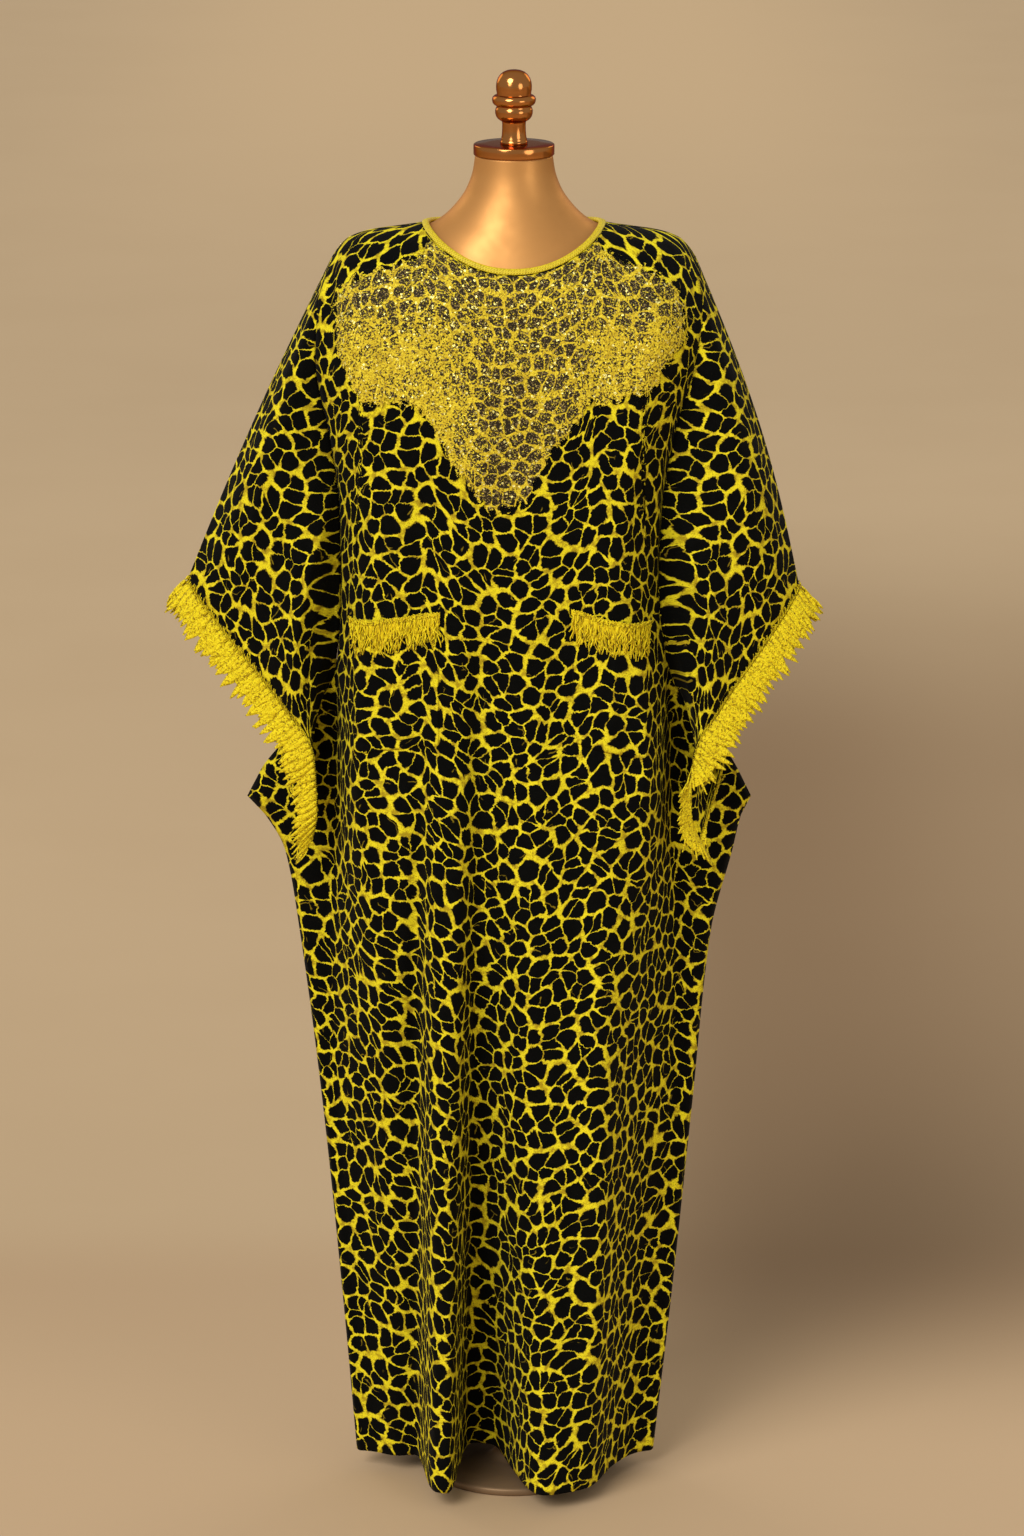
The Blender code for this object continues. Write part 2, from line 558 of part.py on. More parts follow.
def add_object(name, mesh_maker, colour, smooth=True):
    """An object with its own mesh and material, made by a function that fills a bmesh."""
    bm = bmesh.new()
    mesh_maker(bm)
    bmesh.ops.recalc_face_normals(bm, faces=bm.faces)
    mesh = bpy.data.meshes.new(name)
    bm.to_mesh(mesh)
    bm.free()
    if smooth:
        mesh.shade_smooth()
        mesh.set_sharp_from_angle(angle=math.radians(40))
    obj = bpy.data.objects.new(name, mesh)
    bpy.context.scene.collection.objects.link(obj)
    obj.data.materials.append(material(colour))
    return obj


def material(name):
    """The Principled material of that name, made at its first use."""
    found = bpy.data.materials.get(name)
    if found:
        return found
    base, roughness, metallic = COLOURS[name]
    made = bpy.data.materials.new(name)
    made.use_nodes = True
    shader = made.node_tree.nodes["Principled BSDF"]
    shader.inputs["Base Color"].default_value = (*base, 1)
    shader.inputs["Roughness"].default_value = roughness
    shader.inputs["Metallic"].default_value = metallic
    made.diffuse_color = (*base, 1)
    return made


def add_quad(bm, a, b, c, d):
    """Two triangles, split the same way on every layer of a wall."""
    for corners in ((a, b, c), (a, c, d)):
        if len(set(corners)) == 3:
            bm.faces.new(corners)


def skin(bm, outer, inner, closed):
    """A wall between two grids of points; closed joins the last column to the first. Returns the
    corners of the rim along its last row, column by column."""
    rows, columns = outer.shape[:2]
    verts = [[[bm.verts.new(p) for p in row] for row in grid] for grid in (outer, inner)]
    steps = range(columns if closed else columns - 1)
    for layer in verts:
        for r in range(rows - 1):
            for c in steps:
                n = (c + 1) % columns
                add_quad(bm, layer[r][c], layer[r][n], layer[r + 1][n], layer[r + 1][c])
    rims = []
    for r in (0, rows - 1):
        for c in steps:
            n = (c + 1) % columns
            rims.append((verts[0][r][c], verts[0][r][n], verts[1][r][n], verts[1][r][c]))
    if not closed:
        for c in (0, columns - 1):
            for r in range(rows - 1):
                side = (verts[0][r][c], verts[0][r + 1][c], verts[1][r + 1][c], verts[1][r][c])
                add_rim_quad(bm, *side)
    half = len(rims) // 2
    close_rim(bm, rims[:half])
    return rims[half:]


def add_rim_quad(bm, a, b, c, d):
    """Two triangles split along the shorter diagonal, so that facing rims are split alike."""
    if (a.co - c.co).length <= (b.co - d.co).length:
        add_quad(bm, a, b, c, d)
    else:
        add_quad(bm, b, c, d, a)


def close_rim(bm, rims):
    for rim in rims:
        add_rim_quad(bm, *rim)


def pull_strands(bm, rims, tips, taper):
    """Closes a rim whose every second stretch is drawn out into a strand with four sides, which
    ends in a narrower tip."""
    close_rim(bm, rims[1::2])
    for root, (outer, inner) in zip(rims[::2], tips):
        ends = np.array([outer[0], outer[1], inner[1], inner[0]])
        middle = ends.mean(axis=0)
        tip = [bm.verts.new(middle + (end - middle) * taper) for end in ends]
        for i in range(4):
            n = (i + 1) % 4
            add_quad(bm, root[i], root[n], tip[n], tip[i])
        add_quad(bm, *tip)


def add_wall(name, outer, inner, colour, closed=False, smooth=True):
    def fill(bm):
        close_rim(bm, skin(bm, outer, inner, closed))
        bmesh.ops.remove_doubles(bm, verts=bm.verts, dist=MERGE_DISTANCE)

    return add_object(name, fill, colour, smooth)


def read_row(points, row):
    """The points of a grid at a row number that may lie between two rows."""
    low = min(int(math.floor(row)), len(points) - 2)
    share = row - low
    return points[low] * (1 - share) + points[low + 1] * share


def on_panel(panel, outward, x, z):
    """The point of a panel at x and z, and its normal there."""
    points, around = [], []
    for row, normals in zip(panel, outward):
        share = np.interp(x, row[:, 0], np.arange(len(row)))
        points.append(read_row(row, share))
        around.append(read_row(normals, share))
    points, around = np.array(points), np.array(around)
    row = np.interp(-z, -points[:, 2], np.arange(len(points)))
    return read_row(points, row), read_row(around, row)


def lay_grid(panel, outward, places, lift):
    """Points over a panel at a grid of x and z, moved out by lift, and their normals."""
    found = [[on_panel(panel, outward, x, z) for x, z in row] for row in places]
    normals = unit(np.array([[normal for _, normal in row] for row in found]))
    return np.array([[point for point, _ in row] for row in found]) + normals * lift, normals


def add_yoke(front, outward):
    """The glitter lace on the front: the panel's own rows and columns where its outline covers
    them, cut off along the outline and just short of the neck binding."""
    edge = front[0, FRONT_COLUMNS[0] : FRONT_COLUMNS[0] + FRONT_COLUMNS[1] + 1]

    def covers(point):
        x, _, z = point
        low = smooth_read(YOKE_OUTLINE, YOKE_COLUMNS, "low", x)
        high = smooth_read(YOKE_OUTLINE, YOKE_COLUMNS, "high", x)
        inside = YOKE_OUTLINE[0][0] <= x <= YOKE_OUTLINE[-1][0] and low <= z <= high
        return inside and np.linalg.norm(edge - point, axis=1).min() > BINDING_WIDTH + YOKE_NECK_MARGIN

    used = []
    for column in range(front.shape[1]):
        points = front[:, column]
        search = np.linspace(0, len(points) - 1, ROW_SEARCH_STEPS)
        rows = [row for row in search if covers(read_row(points, row))]
        if len(rows) > 2:
            used.append((column, rows[0], rows[-1]))
    first = min(top for _, top, _ in used)
    last = max(low for _, _, low in used)
    levels = [first, *range(math.ceil(first), math.floor(last) + 1), last]
    outer, away = [], []
    for level in levels:
        at = [(column, min(max(level, top), low)) for column, top, low in used]
        outer.append([read_row(front[:, column], row) for column, row in at])
        away.append([read_row(outward[:, column], row) for column, row in at])
    away = unit(np.array(away))
    inner = np.array(outer) + away * OVERLAY_LIFT
    return add_wall("yoke_lace", inner + away * LACE, inner, "yoke")


def add_pocket(front, outward, pocket):
    """A patch pocket, and over its mouth a fringe whose strands hang from a narrow header."""
    name, x_from, x_to, mouth_from, mouth_to = pocket
    numbers = np.arange(front.shape[1])
    middle = (mouth_from + mouth_to) / 2
    heights = front[:, numbers[-1] // 2, 2]
    top = np.interp(-middle, -heights, np.arange(len(front)))
    low = np.interp(POCKET_DEPTH - middle, -heights, np.arange(len(front)))
    inner, away = [], []
    for row in (top, *range(math.ceil(top), math.floor(low) + 1), low):
        points, around = read_row(front, row), read_row(outward, row)
        ends = np.interp((x_from, x_to), points[:, 0], numbers)
        inner.append([read_row(points, min(max(c, ends[0]), ends[1])) for c in numbers])
        away.append([read_row(around, min(max(c, ends[0]), ends[1])) for c in numbers])
    away = unit(np.array(away))
    inner = np.array(inner) + away * OVERLAY_LIFT
    covered = np.flatnonzero(np.abs(np.diff(inner, axis=1)).sum(axis=(0, 2)) > MERGE_DISTANCE)
    keep = slice(covered[0], covered[-1] + 2)
    add_wall("pocket_" + name, (inner + away * POCKET_CLOTH)[:, keep], inner[:, keep], "print")

    across = np.linspace(x_from, x_to, 2 * FRINGE_STRANDS)
    mouth = mouth_from + (mouth_to - mouth_from) * (across - x_from) / (x_to - x_from)
    low = FRINGE_OVERHANG - FRINGE_HEADER
    levels = (FRINGE_OVERHANG, low, low - FRINGE_LENGTH)
    places = [[(x, m + level) for x, m in zip(across, mouth)] for level in levels]
    inner, away = lay_grid(front, outward, places, 2 * OVERLAY_LIFT + POCKET_CLOTH)
    outer = inner + away * LACE
    swing = away[2] * FRINGE_SWING
    ends = outer[2] + swing, inner[2] + swing
    tips = [(ends[0][c : c + 2], ends[1][c : c + 2]) for c in range(0, len(across), 2)]

    def fill(bm):
        pull_strands(bm, skin(bm, outer[:2], inner[:2], False), tips, FRINGE_TAPER)

    return add_object("pocket_fringe_" + name, fill, "lace", smooth=False)


def close_ring(points, count):
    """Points spaced evenly along a closed line, and the share of the line that each lies at."""
    loop = np.vstack([points, points[:1]])
    along = np.concatenate([[0], np.cumsum(np.linalg.norm(np.diff(loop, axis=0), axis=1))])
    at = np.linspace(0, along[-1], count + 1)[:-1]
    return np.stack([np.interp(at, along, loop[:, k]) for k in range(3)], axis=1)


def add_cuff_lace(side, sleeve, outward):
    """Lace round a cuff: a band that goes on from the cloth's edge, and points along it."""
    edge, around = sleeve[-1], outward[-1]
    count = 2 * CUFF_POINTS
    ring, normal = close_ring(edge, count), unit(close_ring(around, count))
    tip_height, low_height = edge[:, 2].max(), edge[:, 2].min()
    sign = -1 if side == "left" else 1
    down = (tip_height - ring[:, 2]) / (tip_height - low_height)
    way = np.stack(
        [
            sign * smooth_read(LACE_WAYS, LACE_WAY_COLUMNS, "out", down),
            -smooth_read(LACE_WAYS, LACE_WAY_COLUMNS, "forward", down),
            -smooth_read(LACE_WAYS, LACE_WAY_COLUMNS, "down", down),
        ],
        axis=1,
    )
    way = way - (way * normal).sum(-1, keepdims=True) * normal
    way = unit(way)
    beside = cuff_edge(side, "back", np.array([LACE_TUCK_SHARE]))[0]
    near = np.exp(-((np.linalg.norm(ring - beside, axis=1, keepdims=True) / LACE_TUCK_REACH) ** 2))
    whole = (SEAM_GAP, CUFF_LACE_WIDTH, CUFF_LACE_WIDTH + CUFF_POINT_LENGTH)
    reach = [whole[0]] + [length * (1 - LACE_TUCK * near) for length in whole[1:]]
    outer = [ring + way * r - normal * (CLOTH - LACE) / 2 for r in reach]
    inner = [line - normal * LACE for line in outer]
    tips = [(outer[2][c : c + 2], inner[2][c : c + 2]) for c in range(0, count, 2)]

    def fill(bm):
        rims = skin(bm, np.array(outer[:2]), np.array(inner[:2]), True)
        pull_strands(bm, rims, tips, CUFF_POINT_TAPER)

    return add_object("cuff_lace_" + side, fill, "lace", smooth=False)


def add_binding(front, back, front_out, back_out):
    """The band round the neck, from the neck's edge outwards over the cloth."""
    a, b = FRONT_COLUMNS[0], FRONT_COLUMNS[0] + FRONT_COLUMNS[1]
    c, d = BACK_COLUMNS[0], BACK_COLUMNS[0] + BACK_COLUMNS[1]
    ring = np.vstack([front[0, a : b + 1], back[0, c + 1 : d][::-1]])
    normal = np.vstack([front_out[0, a : b + 1], back_out[0, c + 1 : d][::-1]])
    ring, normal = close_ring(ring, NECK_STEPS), unit(close_ring(normal, NECK_STEPS))
    tangent = unit(np.roll(ring, -1, axis=0) - np.roll(ring, 1, axis=0))
    out = unit(np.cross(tangent, normal))
    if (out * (ring - ring.mean(axis=0)))[:, :2].sum() < 0:
        out = -out
    cloth = BVHTree.FromPolygons(*join_grids([front, back]))
    inner = []
    for reach in BINDING_ROWS:
        line = ring + out * reach
        if reach > 0:
            line = np.array([cloth.find_nearest(Vector(p))[0] for p in line])
        inner.append(line + normal * (OVERLAY_LIFT + SEAM_GAP))
    inner = np.array(inner)
    outer = inner + normal * TRIM
    return add_wall("neck_binding", outer, inner, "binding", closed=True)


def join_grids(grids):
    """The points and four-cornered faces of several grids, as lists for a search tree."""
    points, faces = [], []
    for grid in grids:
        rows, columns = grid.shape[:2]
        start = len(points)
        points.extend(Vector(p) for p in grid.reshape(-1, 3))
        for r in range(rows - 1):
            for c in range(columns - 1):
                k = start + r * columns + c
                faces.append((k, k + 1, k + columns + 1, k + columns))
    return points, faces


def form_ring(row, steps):
    """One ring of the form: an oval whose height varies round it."""
    ring = dict(zip(FORM_COLUMNS, row))
    angle = np.arange(steps) * 2 * math.pi / steps
    sine = np.sin(angle)
    x = ring["half_width"] * np.cos(angle)
    y = np.where(sine < 0, ring["front"], ring["back"]) * sine
    end = np.where(sine < 0, ring["front_height"], ring["back_height"])
    z = ring["side_height"] + (end - ring["side_height"]) * sine**2
    return np.stack([x, y, z], axis=1)


def add_form():
    """The hollow form: its wall, a closed neck and a floor with a hole for the pole."""
    rings = np.array([form_ring(row, FORM_STEPS) for row in FORM_RINGS])
    outward = grid_normals(rings, closed=True)
    middle = rings.mean(axis=1, keepdims=True)
    if (outward * (rings - middle)).sum() < 0:
        outward = -outward
    inner = rings - outward * FORM_WALL
    inner[0] = rings[0] * (1 - FORM_WALL / FORM_RINGS[0][0], 1 - FORM_WALL / FORM_RINGS[0][0], 1)
    inner[0, :, 2] -= FORM_FLOOR
    inner[-1] = rings[-1] + (inner[-1] - rings[-1]) * (1, 1, 0)
    inner[-1, :, 2] += FORM_FLOOR
    angle = np.arange(FORM_STEPS) * 2 * math.pi / FORM_STEPS
    hole = np.stack([np.cos(angle), np.sin(angle), np.zeros(FORM_STEPS)], axis=1)
    hole = hole * (POLE_RADIUS + SEAM_GAP) / math.cos(math.pi / FORM_STEPS)
    under = hole + (0, 0, rings[-1, :, 2].mean())
    over = under + (0, 0, FORM_FLOOR)
    grid = np.concatenate([rings, under[None], over[None], inner[::-1]])

    def fill(bm):
        verts = [[bm.verts.new(p) for p in ring] for ring in grid]
        for r in range(len(verts) - 1):
            for c in range(FORM_STEPS):
                n = (c + 1) % FORM_STEPS
                bm.faces.new((verts[r][c], verts[r][n], verts[r + 1][n], verts[r + 1][c]))
        bm.faces.new(verts[0])
        bm.faces.new(verts[-1])

    return add_object("form_torso", fill, "form")


def add_turned(name, profile, height, colour, steps=TURNED_STEPS):
    """A solid turned round the upright axis, from the radius and height of its profile's points."""
    def fill(bm):
        rings = []
        for radius, z in profile:
            if radius == 0:
                rings.append([bm.verts.new((0, 0, z + height))])
                continue
            turn = [2 * math.pi * k / steps for k in range(steps)]
            rings.append([
                bm.verts.new((radius * math.cos(t), radius * math.sin(t), z + height)) for t in turn
            ])
        for low, high in zip(rings, rings[1:]):
            for k in range(steps):
                n = (k + 1) % steps
                corners = [low[k % len(low)], low[n % len(low)], high[n % len(high)], high[k % len(high)]]
                bm.faces.new(list(dict.fromkeys(corners)))
        for ring, (radius, _) in zip((rings[0], rings[-1]), (profile[0], profile[-1])):
            if radius > 0:
                bm.faces.new(ring)

    return add_object(name, fill, colour)


def add_stand():
    """Cap and finial on the neck, pole and foot under the form, each a hair's breadth apart."""
    neck_top = FORM_RINGS[0][FORM_COLUMNS.index("side_height")]
    cap = (
        (0.0, 0.0), (CAP_RADIUS - CAP_BEVEL, 0.0), (CAP_RADIUS, CAP_BEVEL),
        (CAP_RADIUS, CAP_THICKNESS - CAP_BEVEL), (CAP_RADIUS - CAP_BEVEL, CAP_THICKNESS),
        (0.0, CAP_THICKNESS),
    )
    add_turned("neck_cap", cap, neck_top + SEAM_GAP, "copper")
    add_turned("finial", FINIAL, neck_top + CAP_THICKNESS + 2 * SEAM_GAP, "copper")
    boss = FOOT_PROFILE[-1][1]
    low = boss + SEAM_GAP
    pole = ((0.0, low), (POLE_RADIUS, low), (POLE_RADIUS, POLE_TOP), (0.0, POLE_TOP))
    add_turned("pole", pole, 0.0, "steel")
    add_turned("base", FOOT_PROFILE, 0.0, "steel")


def clear_scene():
    for obj in list(bpy.data.objects):
        bpy.data.objects.remove(obj)


def main():
    clear_scene()
    front, back, sleeves, front_out, back_out, sleeve_out = make_robe()
    add_yoke(front, front_out)
    for pocket in POCKETS:
        add_pocket(front, front_out, pocket)
    add_binding(front, back, front_out, back_out)
    add_form()
    add_stand()
    for side, sleeve in sleeves.items():
        add_cuff_lace(side, sleeve, sleeve_out[side])
    add_cloth(front, back, sleeves, front_out, back_out, sleeve_out)


main()
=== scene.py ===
"""The looks of a grand boubou robe and of the dress form that wears it, laid out as an add-on.

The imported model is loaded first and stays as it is. Every piece of cloth here follows the same
named lines as the solid that it stands for, with many more rows and columns, and gets its creases,
print, lace, glitter and stitches. X runs to the viewer's right, -Y is the front and +Z is up.
Sizes are in metres.
"""

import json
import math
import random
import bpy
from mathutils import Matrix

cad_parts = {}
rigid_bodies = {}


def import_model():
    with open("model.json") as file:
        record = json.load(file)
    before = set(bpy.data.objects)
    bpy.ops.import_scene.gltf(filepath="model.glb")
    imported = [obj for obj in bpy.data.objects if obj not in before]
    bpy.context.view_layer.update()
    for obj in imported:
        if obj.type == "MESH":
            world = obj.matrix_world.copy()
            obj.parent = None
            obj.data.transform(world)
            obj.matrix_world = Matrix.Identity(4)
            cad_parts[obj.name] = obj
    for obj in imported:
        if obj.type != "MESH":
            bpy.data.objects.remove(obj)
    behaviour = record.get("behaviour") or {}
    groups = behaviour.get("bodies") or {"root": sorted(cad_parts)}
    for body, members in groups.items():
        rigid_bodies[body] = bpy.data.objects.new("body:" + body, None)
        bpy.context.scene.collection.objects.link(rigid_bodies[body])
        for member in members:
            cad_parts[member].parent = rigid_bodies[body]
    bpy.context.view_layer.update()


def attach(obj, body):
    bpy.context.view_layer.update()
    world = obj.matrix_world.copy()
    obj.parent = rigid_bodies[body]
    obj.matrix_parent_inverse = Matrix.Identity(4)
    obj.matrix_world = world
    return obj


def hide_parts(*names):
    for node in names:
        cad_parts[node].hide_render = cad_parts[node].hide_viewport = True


bl_info = {
    "name": "Grand Boubou Robe",
    "version": (1, 0, 0),
    "blender": (4, 5, 0),
    "location": "View3D > Sidebar > Robe",
    "description": "Builds a printed robe with lace trim, the dress form under it and a pale studio",
    "category": "Add Mesh",
}

import bmesh
import bpy
import numpy as np
from bpy.props import FloatProperty, FloatVectorProperty, IntProperty, PointerProperty
from mathutils import Vector
from mathutils.bvhtree import BVHTree

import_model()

# The robe from hem to shoulder, as in the solid: where the panels end at the side seams and along
# the armholes, how far the cloth stands off along the armhole, where its raised middle begins, how
# softly it rises, and how deep it stands at the front and the back
SECTION_COLUMNS = (
    "height", "left", "right", "valley", "start_left", "start_right", "soft", "front", "back",
)
SECTIONS = (
    (0.022, -0.186, 0.165, 0.008, -0.178, 0.157, 0.130, 0.026, 0.052),
    (0.210, -0.201, 0.185, 0.008, -0.190, 0.172, 0.110, 0.048, 0.066),
    (0.450, -0.223, 0.208, 0.008, -0.206, 0.186, 0.085, 0.083, 0.090),
    (0.660, -0.248, 0.228, 0.008, -0.212, 0.189, 0.060, 0.108, 0.106),
    (0.757, -0.264, 0.252, 0.008, -0.208, 0.184, 0.045, 0.115, 0.112),
    (0.800, -0.287, 0.262, 0.008, -0.206, 0.182, 0.038, 0.117, 0.114),
    (0.822, -0.307, 0.273, 0.008, -0.205, 0.181, 0.034, 0.118, 0.115),
    (0.855, -0.290, 0.257, 0.007, -0.205, 0.181, 0.032, 0.119, 0.115),
    (0.890, -0.262, 0.235, 0.003, -0.204, 0.180, 0.032, 0.120, 0.115),
    (0.925, -0.232, 0.205, 0.014, -0.203, 0.178, 0.034, 0.121, 0.115),
    (0.980, -0.203, 0.176, 0.030, -0.203, 0.176, 0.038, 0.123, 0.114),
    (1.080, -0.196, 0.164, 0.042, -0.196, 0.164, 0.042, 0.127, 0.112),
    (1.170, -0.197, 0.167, 0.050, -0.197, 0.167, 0.046, 0.131, 0.112),
    (1.260, -0.208, 0.181, 0.058, -0.208, 0.181, 0.052, 0.131, 0.113),
    (1.340, -0.222, 0.203, 0.064, -0.222, 0.203, 0.060, 0.124, 0.112),
    (1.400, -0.220, 0.211, 0.066, -0.220, 0.211, 0.066, 0.114, 0.106),
    (1.448, -0.205, 0.205, 0.066, -0.205, 0.205, 0.070, 0.106, 0.100),
)
ROW_HEIGHTS = (
    1.448, 1.4455, 1.438, 1.425, 1.405, 1.375, 1.335, 1.285, 1.225, 1.160, 1.090, 1.020, 0.965,
    0.925, 0.904, 0.890, 0.855, 0.822, 0.800, 0.757, 0.680, 0.590, 0.490, 0.380, 0.265,
    0.150, 0.080, 0.022,
)
UNDERARM_HEIGHT = 0.890
HEM_HEIGHT = 0.022
SHOULDER_END = 0.205
SHOULDER_END_HEIGHT = 1.448
NECK_HALF_WIDTH = 0.097
REST_GAP = 0.0011
CAD_CLOTH = 0.0020
SHOULDER_COLUMNS = ("out", "height")
SHOULDER_LINE = (
    (0.0435, 1.5650), (0.0460, 1.5480), (0.0530, 1.5280), (0.0660, 1.5090), (0.0820, 1.4940),
    (0.0970, 1.4860), (0.1350, 1.4800), (0.1600, 1.4765), (0.1850, 1.4685), (0.1970, 1.4575),
    (0.2050, 1.4455),
)
FRONT_TURN = 0.100
BACK_TURN = 0.085
CROWN = 0.16
FOLD_EDGE = 0.016
NECK_FRONT_HEIGHT = 1.450
NECK_BACK_HEIGHT = 1.480
NECK_CREST = 0.014
NECK_CURVE = 2.2

# Folds of the skirt: where each crest runs at its top and at the hem, its half width and how far it
# stands out at both, the height where it starts, and how square its crest is
FOLDS = {
    "front": (
        (-0.070, -0.085, 0.030, 0.0215, 0.004, 0.128, 1.200, 4.0),
        (0.058, 0.052, 0.095, 0.0520, 0.010, 0.128, 1.000, 4.0),
        (0.118, 0.112, 0.030, 0.0260, 0.000, 0.052, 0.780, 2.6),
        (-0.140, -0.142, 0.024, 0.0200, 0.000, 0.014, 0.760, 2.2),
        (0.012, 0.020, 0.018, 0.0160, 0.006, 0.000, 1.150, 2.2),
        (-0.128, -0.122, 0.020, 0.0180, 0.006, 0.000, 1.320, 2.2),
        (0.110, 0.104, 0.018, 0.0180, 0.007, 0.000, 1.320, 2.2),
    ),
    "back": (
        (-0.118, -0.118, 0.040, 0.0280, 0.000, 0.064, 0.980, 2.6),
        (-0.034, -0.030, 0.050, 0.0320, 0.004, 0.082, 1.100, 3.0),
        (0.052, 0.050, 0.046, 0.0280, 0.004, 0.072, 1.100, 2.8),
        (0.122, 0.112, 0.034, 0.0220, 0.000, 0.046, 0.860, 2.4),
    ),
}
FOLD_GROWTH = 1.35
FOLD_RISE = 0.15
HEM_LIFT = 0.016
HEM_LIFT_PLACE = -0.038
HEM_LIFT_HALF_WIDTH = 0.026
HEM_LIFT_REACH = 0.20

# Smaller creases of the panels, as strokes from one point to another: half width, and how far the
# cloth stands out along them, which is negative for a trough
CREASES = {
    "front": (
        (-0.176, 1.360, -0.120, 0.980, 0.013, -0.0050),
        (0.158, 1.350, 0.112, 0.960, 0.012, -0.0050),
        (-0.150, 1.210, -0.104, 0.800, 0.012, 0.0036),
        (0.140, 1.200, 0.088, 0.830, 0.012, 0.0034),
        (-0.052, 1.150, -0.030, 0.700, 0.014, -0.0040),
        (0.026, 1.120, 0.040, 0.640, 0.011, 0.0032),
        (0.066, 1.060, 0.070, 0.560, 0.010, -0.0040),
        (0.092, 0.980, 0.098, 0.430, 0.010, 0.0044),
        (-0.102, 0.900, -0.118, 0.300, 0.010, -0.0046),
        (-0.150, 0.740, -0.156, 0.110, 0.010, 0.0040),
        (-0.072, 0.640, -0.082, 0.160, 0.007, 0.0034),
        (0.030, 0.560, 0.036, 0.090, 0.009, 0.0036),
        (0.072, 0.520, 0.062, 0.060, 0.009, -0.0046),
        (0.140, 0.700, 0.134, 0.130, 0.011, 0.0042),
        (-0.250, 0.850, -0.170, 0.790, 0.008, 0.0030),
        (-0.262, 0.815, -0.180, 0.700, 0.009, -0.0030),
        (0.236, 0.850, 0.160, 0.780, 0.008, 0.0030),
        (0.226, 0.800, 0.158, 0.690, 0.009, -0.0030),
        (-0.192, 0.960, -0.120, 0.760, 0.010, 0.0034),
        (0.170, 0.950, 0.112, 0.760, 0.010, 0.0034),
    ),
    "back": (
        (-0.160, 1.350, -0.120, 0.950, 0.013, -0.0050),
        (0.150, 1.340, 0.106, 0.920, 0.013, -0.0046),
        (-0.070, 1.330, -0.052, 0.860, 0.015, 0.0036),
        (0.030, 1.300, 0.016, 0.760, 0.014, -0.0040),
        (0.080, 1.240, 0.092, 0.700, 0.012, 0.0040),
        (-0.090, 0.900, -0.080, 0.300, 0.011, -0.0044),
        (0.008, 0.760, 0.012, 0.180, 0.010, 0.0044),
        (0.088, 0.660, 0.084, 0.120, 0.010, -0.0046),
        (-0.150, 0.700, -0.154, 0.120, 0.011, 0.0040),
        (0.148, 0.640, 0.140, 0.110, 0.010, 0.0036),
        (-0.240, 0.840, -0.150, 0.760, 0.009, 0.0030),
        (0.220, 0.830, 0.140, 0.750, 0.009, 0.0030),
        (-0.190, 1.000, -0.110, 0.800, 0.011, 0.0036),
        (0.168, 0.990, 0.100, 0.800, 0.011, 0.0034),
    ),
}
# Gentle waves of the whole panel: waves a metre across and down, how far they stand out, and where
# they begin
RIPPLES = (
    (7.1, 1.3, 0.0012, 0.4), (11.7, -2.1, 0.0009, 2.1), (17.3, 3.4, 0.0006, 4.0),
    (5.2, 6.7, 0.0007, 1.2),
)
CREASE_BOW = 0.35
CREASE_EDGE = 0.026
CREASE_TOP = 0.070

# Fine rows and columns of the panels
ROWS_BETWEEN = 8
FRONT_COLUMNS = (22, 112, 22)
BACK_COLUMNS = (18, 92, 18)
WING_COLUMNS = 12
WING_ROWS = (5, 8)
WING_INSET = 0.018
BLEND_HEIGHT_ROWS = (3, 11)
COLUMN_SMOOTHING = 380
SPREAD_STEPS = 900
BEND_WEIGHT = 0.014
SEAM_SETBACK = 0.0004

# The left cuff opening: its front and its back edge, from the tip on the shoulder line down to the
# underarm point where they meet. share is how far down the armhole the same thread begins
CUFF_COLUMNS = ("share", "x", "y", "height")
CUFF_EDGES = {
    "front": (
        (0.00, -0.372, 0.000, 1.078), (0.10, -0.353, -0.022, 1.055), (0.26, -0.320, -0.042, 1.016),
        (0.51, -0.262, -0.066, 0.947), (0.71, -0.226, -0.078, 0.890), (0.88, -0.223, -0.076, 0.826),
        (1.00, -0.231, -0.063, 0.787),
    ),
    "back": (
        (0.00, -0.372, 0.000, 1.078), (0.10, -0.353, 0.022, 1.055), (0.30, -0.322, 0.038, 1.018),
        (0.60, -0.284, 0.046, 0.974), (0.84, -0.264, 0.038, 0.944), (0.93, -0.263, 0.022, 0.926),
        (0.97, -0.268, -0.004, 0.903), (0.99, -0.260, -0.034, 0.862), (1.00, -0.231, -0.063, 0.787),
    ),
}
CUFF_SPREAD = {"left": (1.0, 1.0), "right": (-0.875, -0.910)}
CUFF_DROP = {"left": 0.0, "right": 0.008}
UNDERARM_FORWARD = 0.014
UNDERARM_SHARE = 0.85
ARMHOLE_OUT = 0.016
ARMHOLE_OUT_SHARE = 0.45
SLEEVE_BOW = {"left": 0.006, "right": 0.013}
SLEEVE_PUFF = 0.026
PUFF_REACH = 1.25
PUFF_SQUARE = 0.7
SLEEVE_FOLD = 0.007
SLEEVE_FOLD_COUNT = 2.5
SLEEVE_RINGS = 44
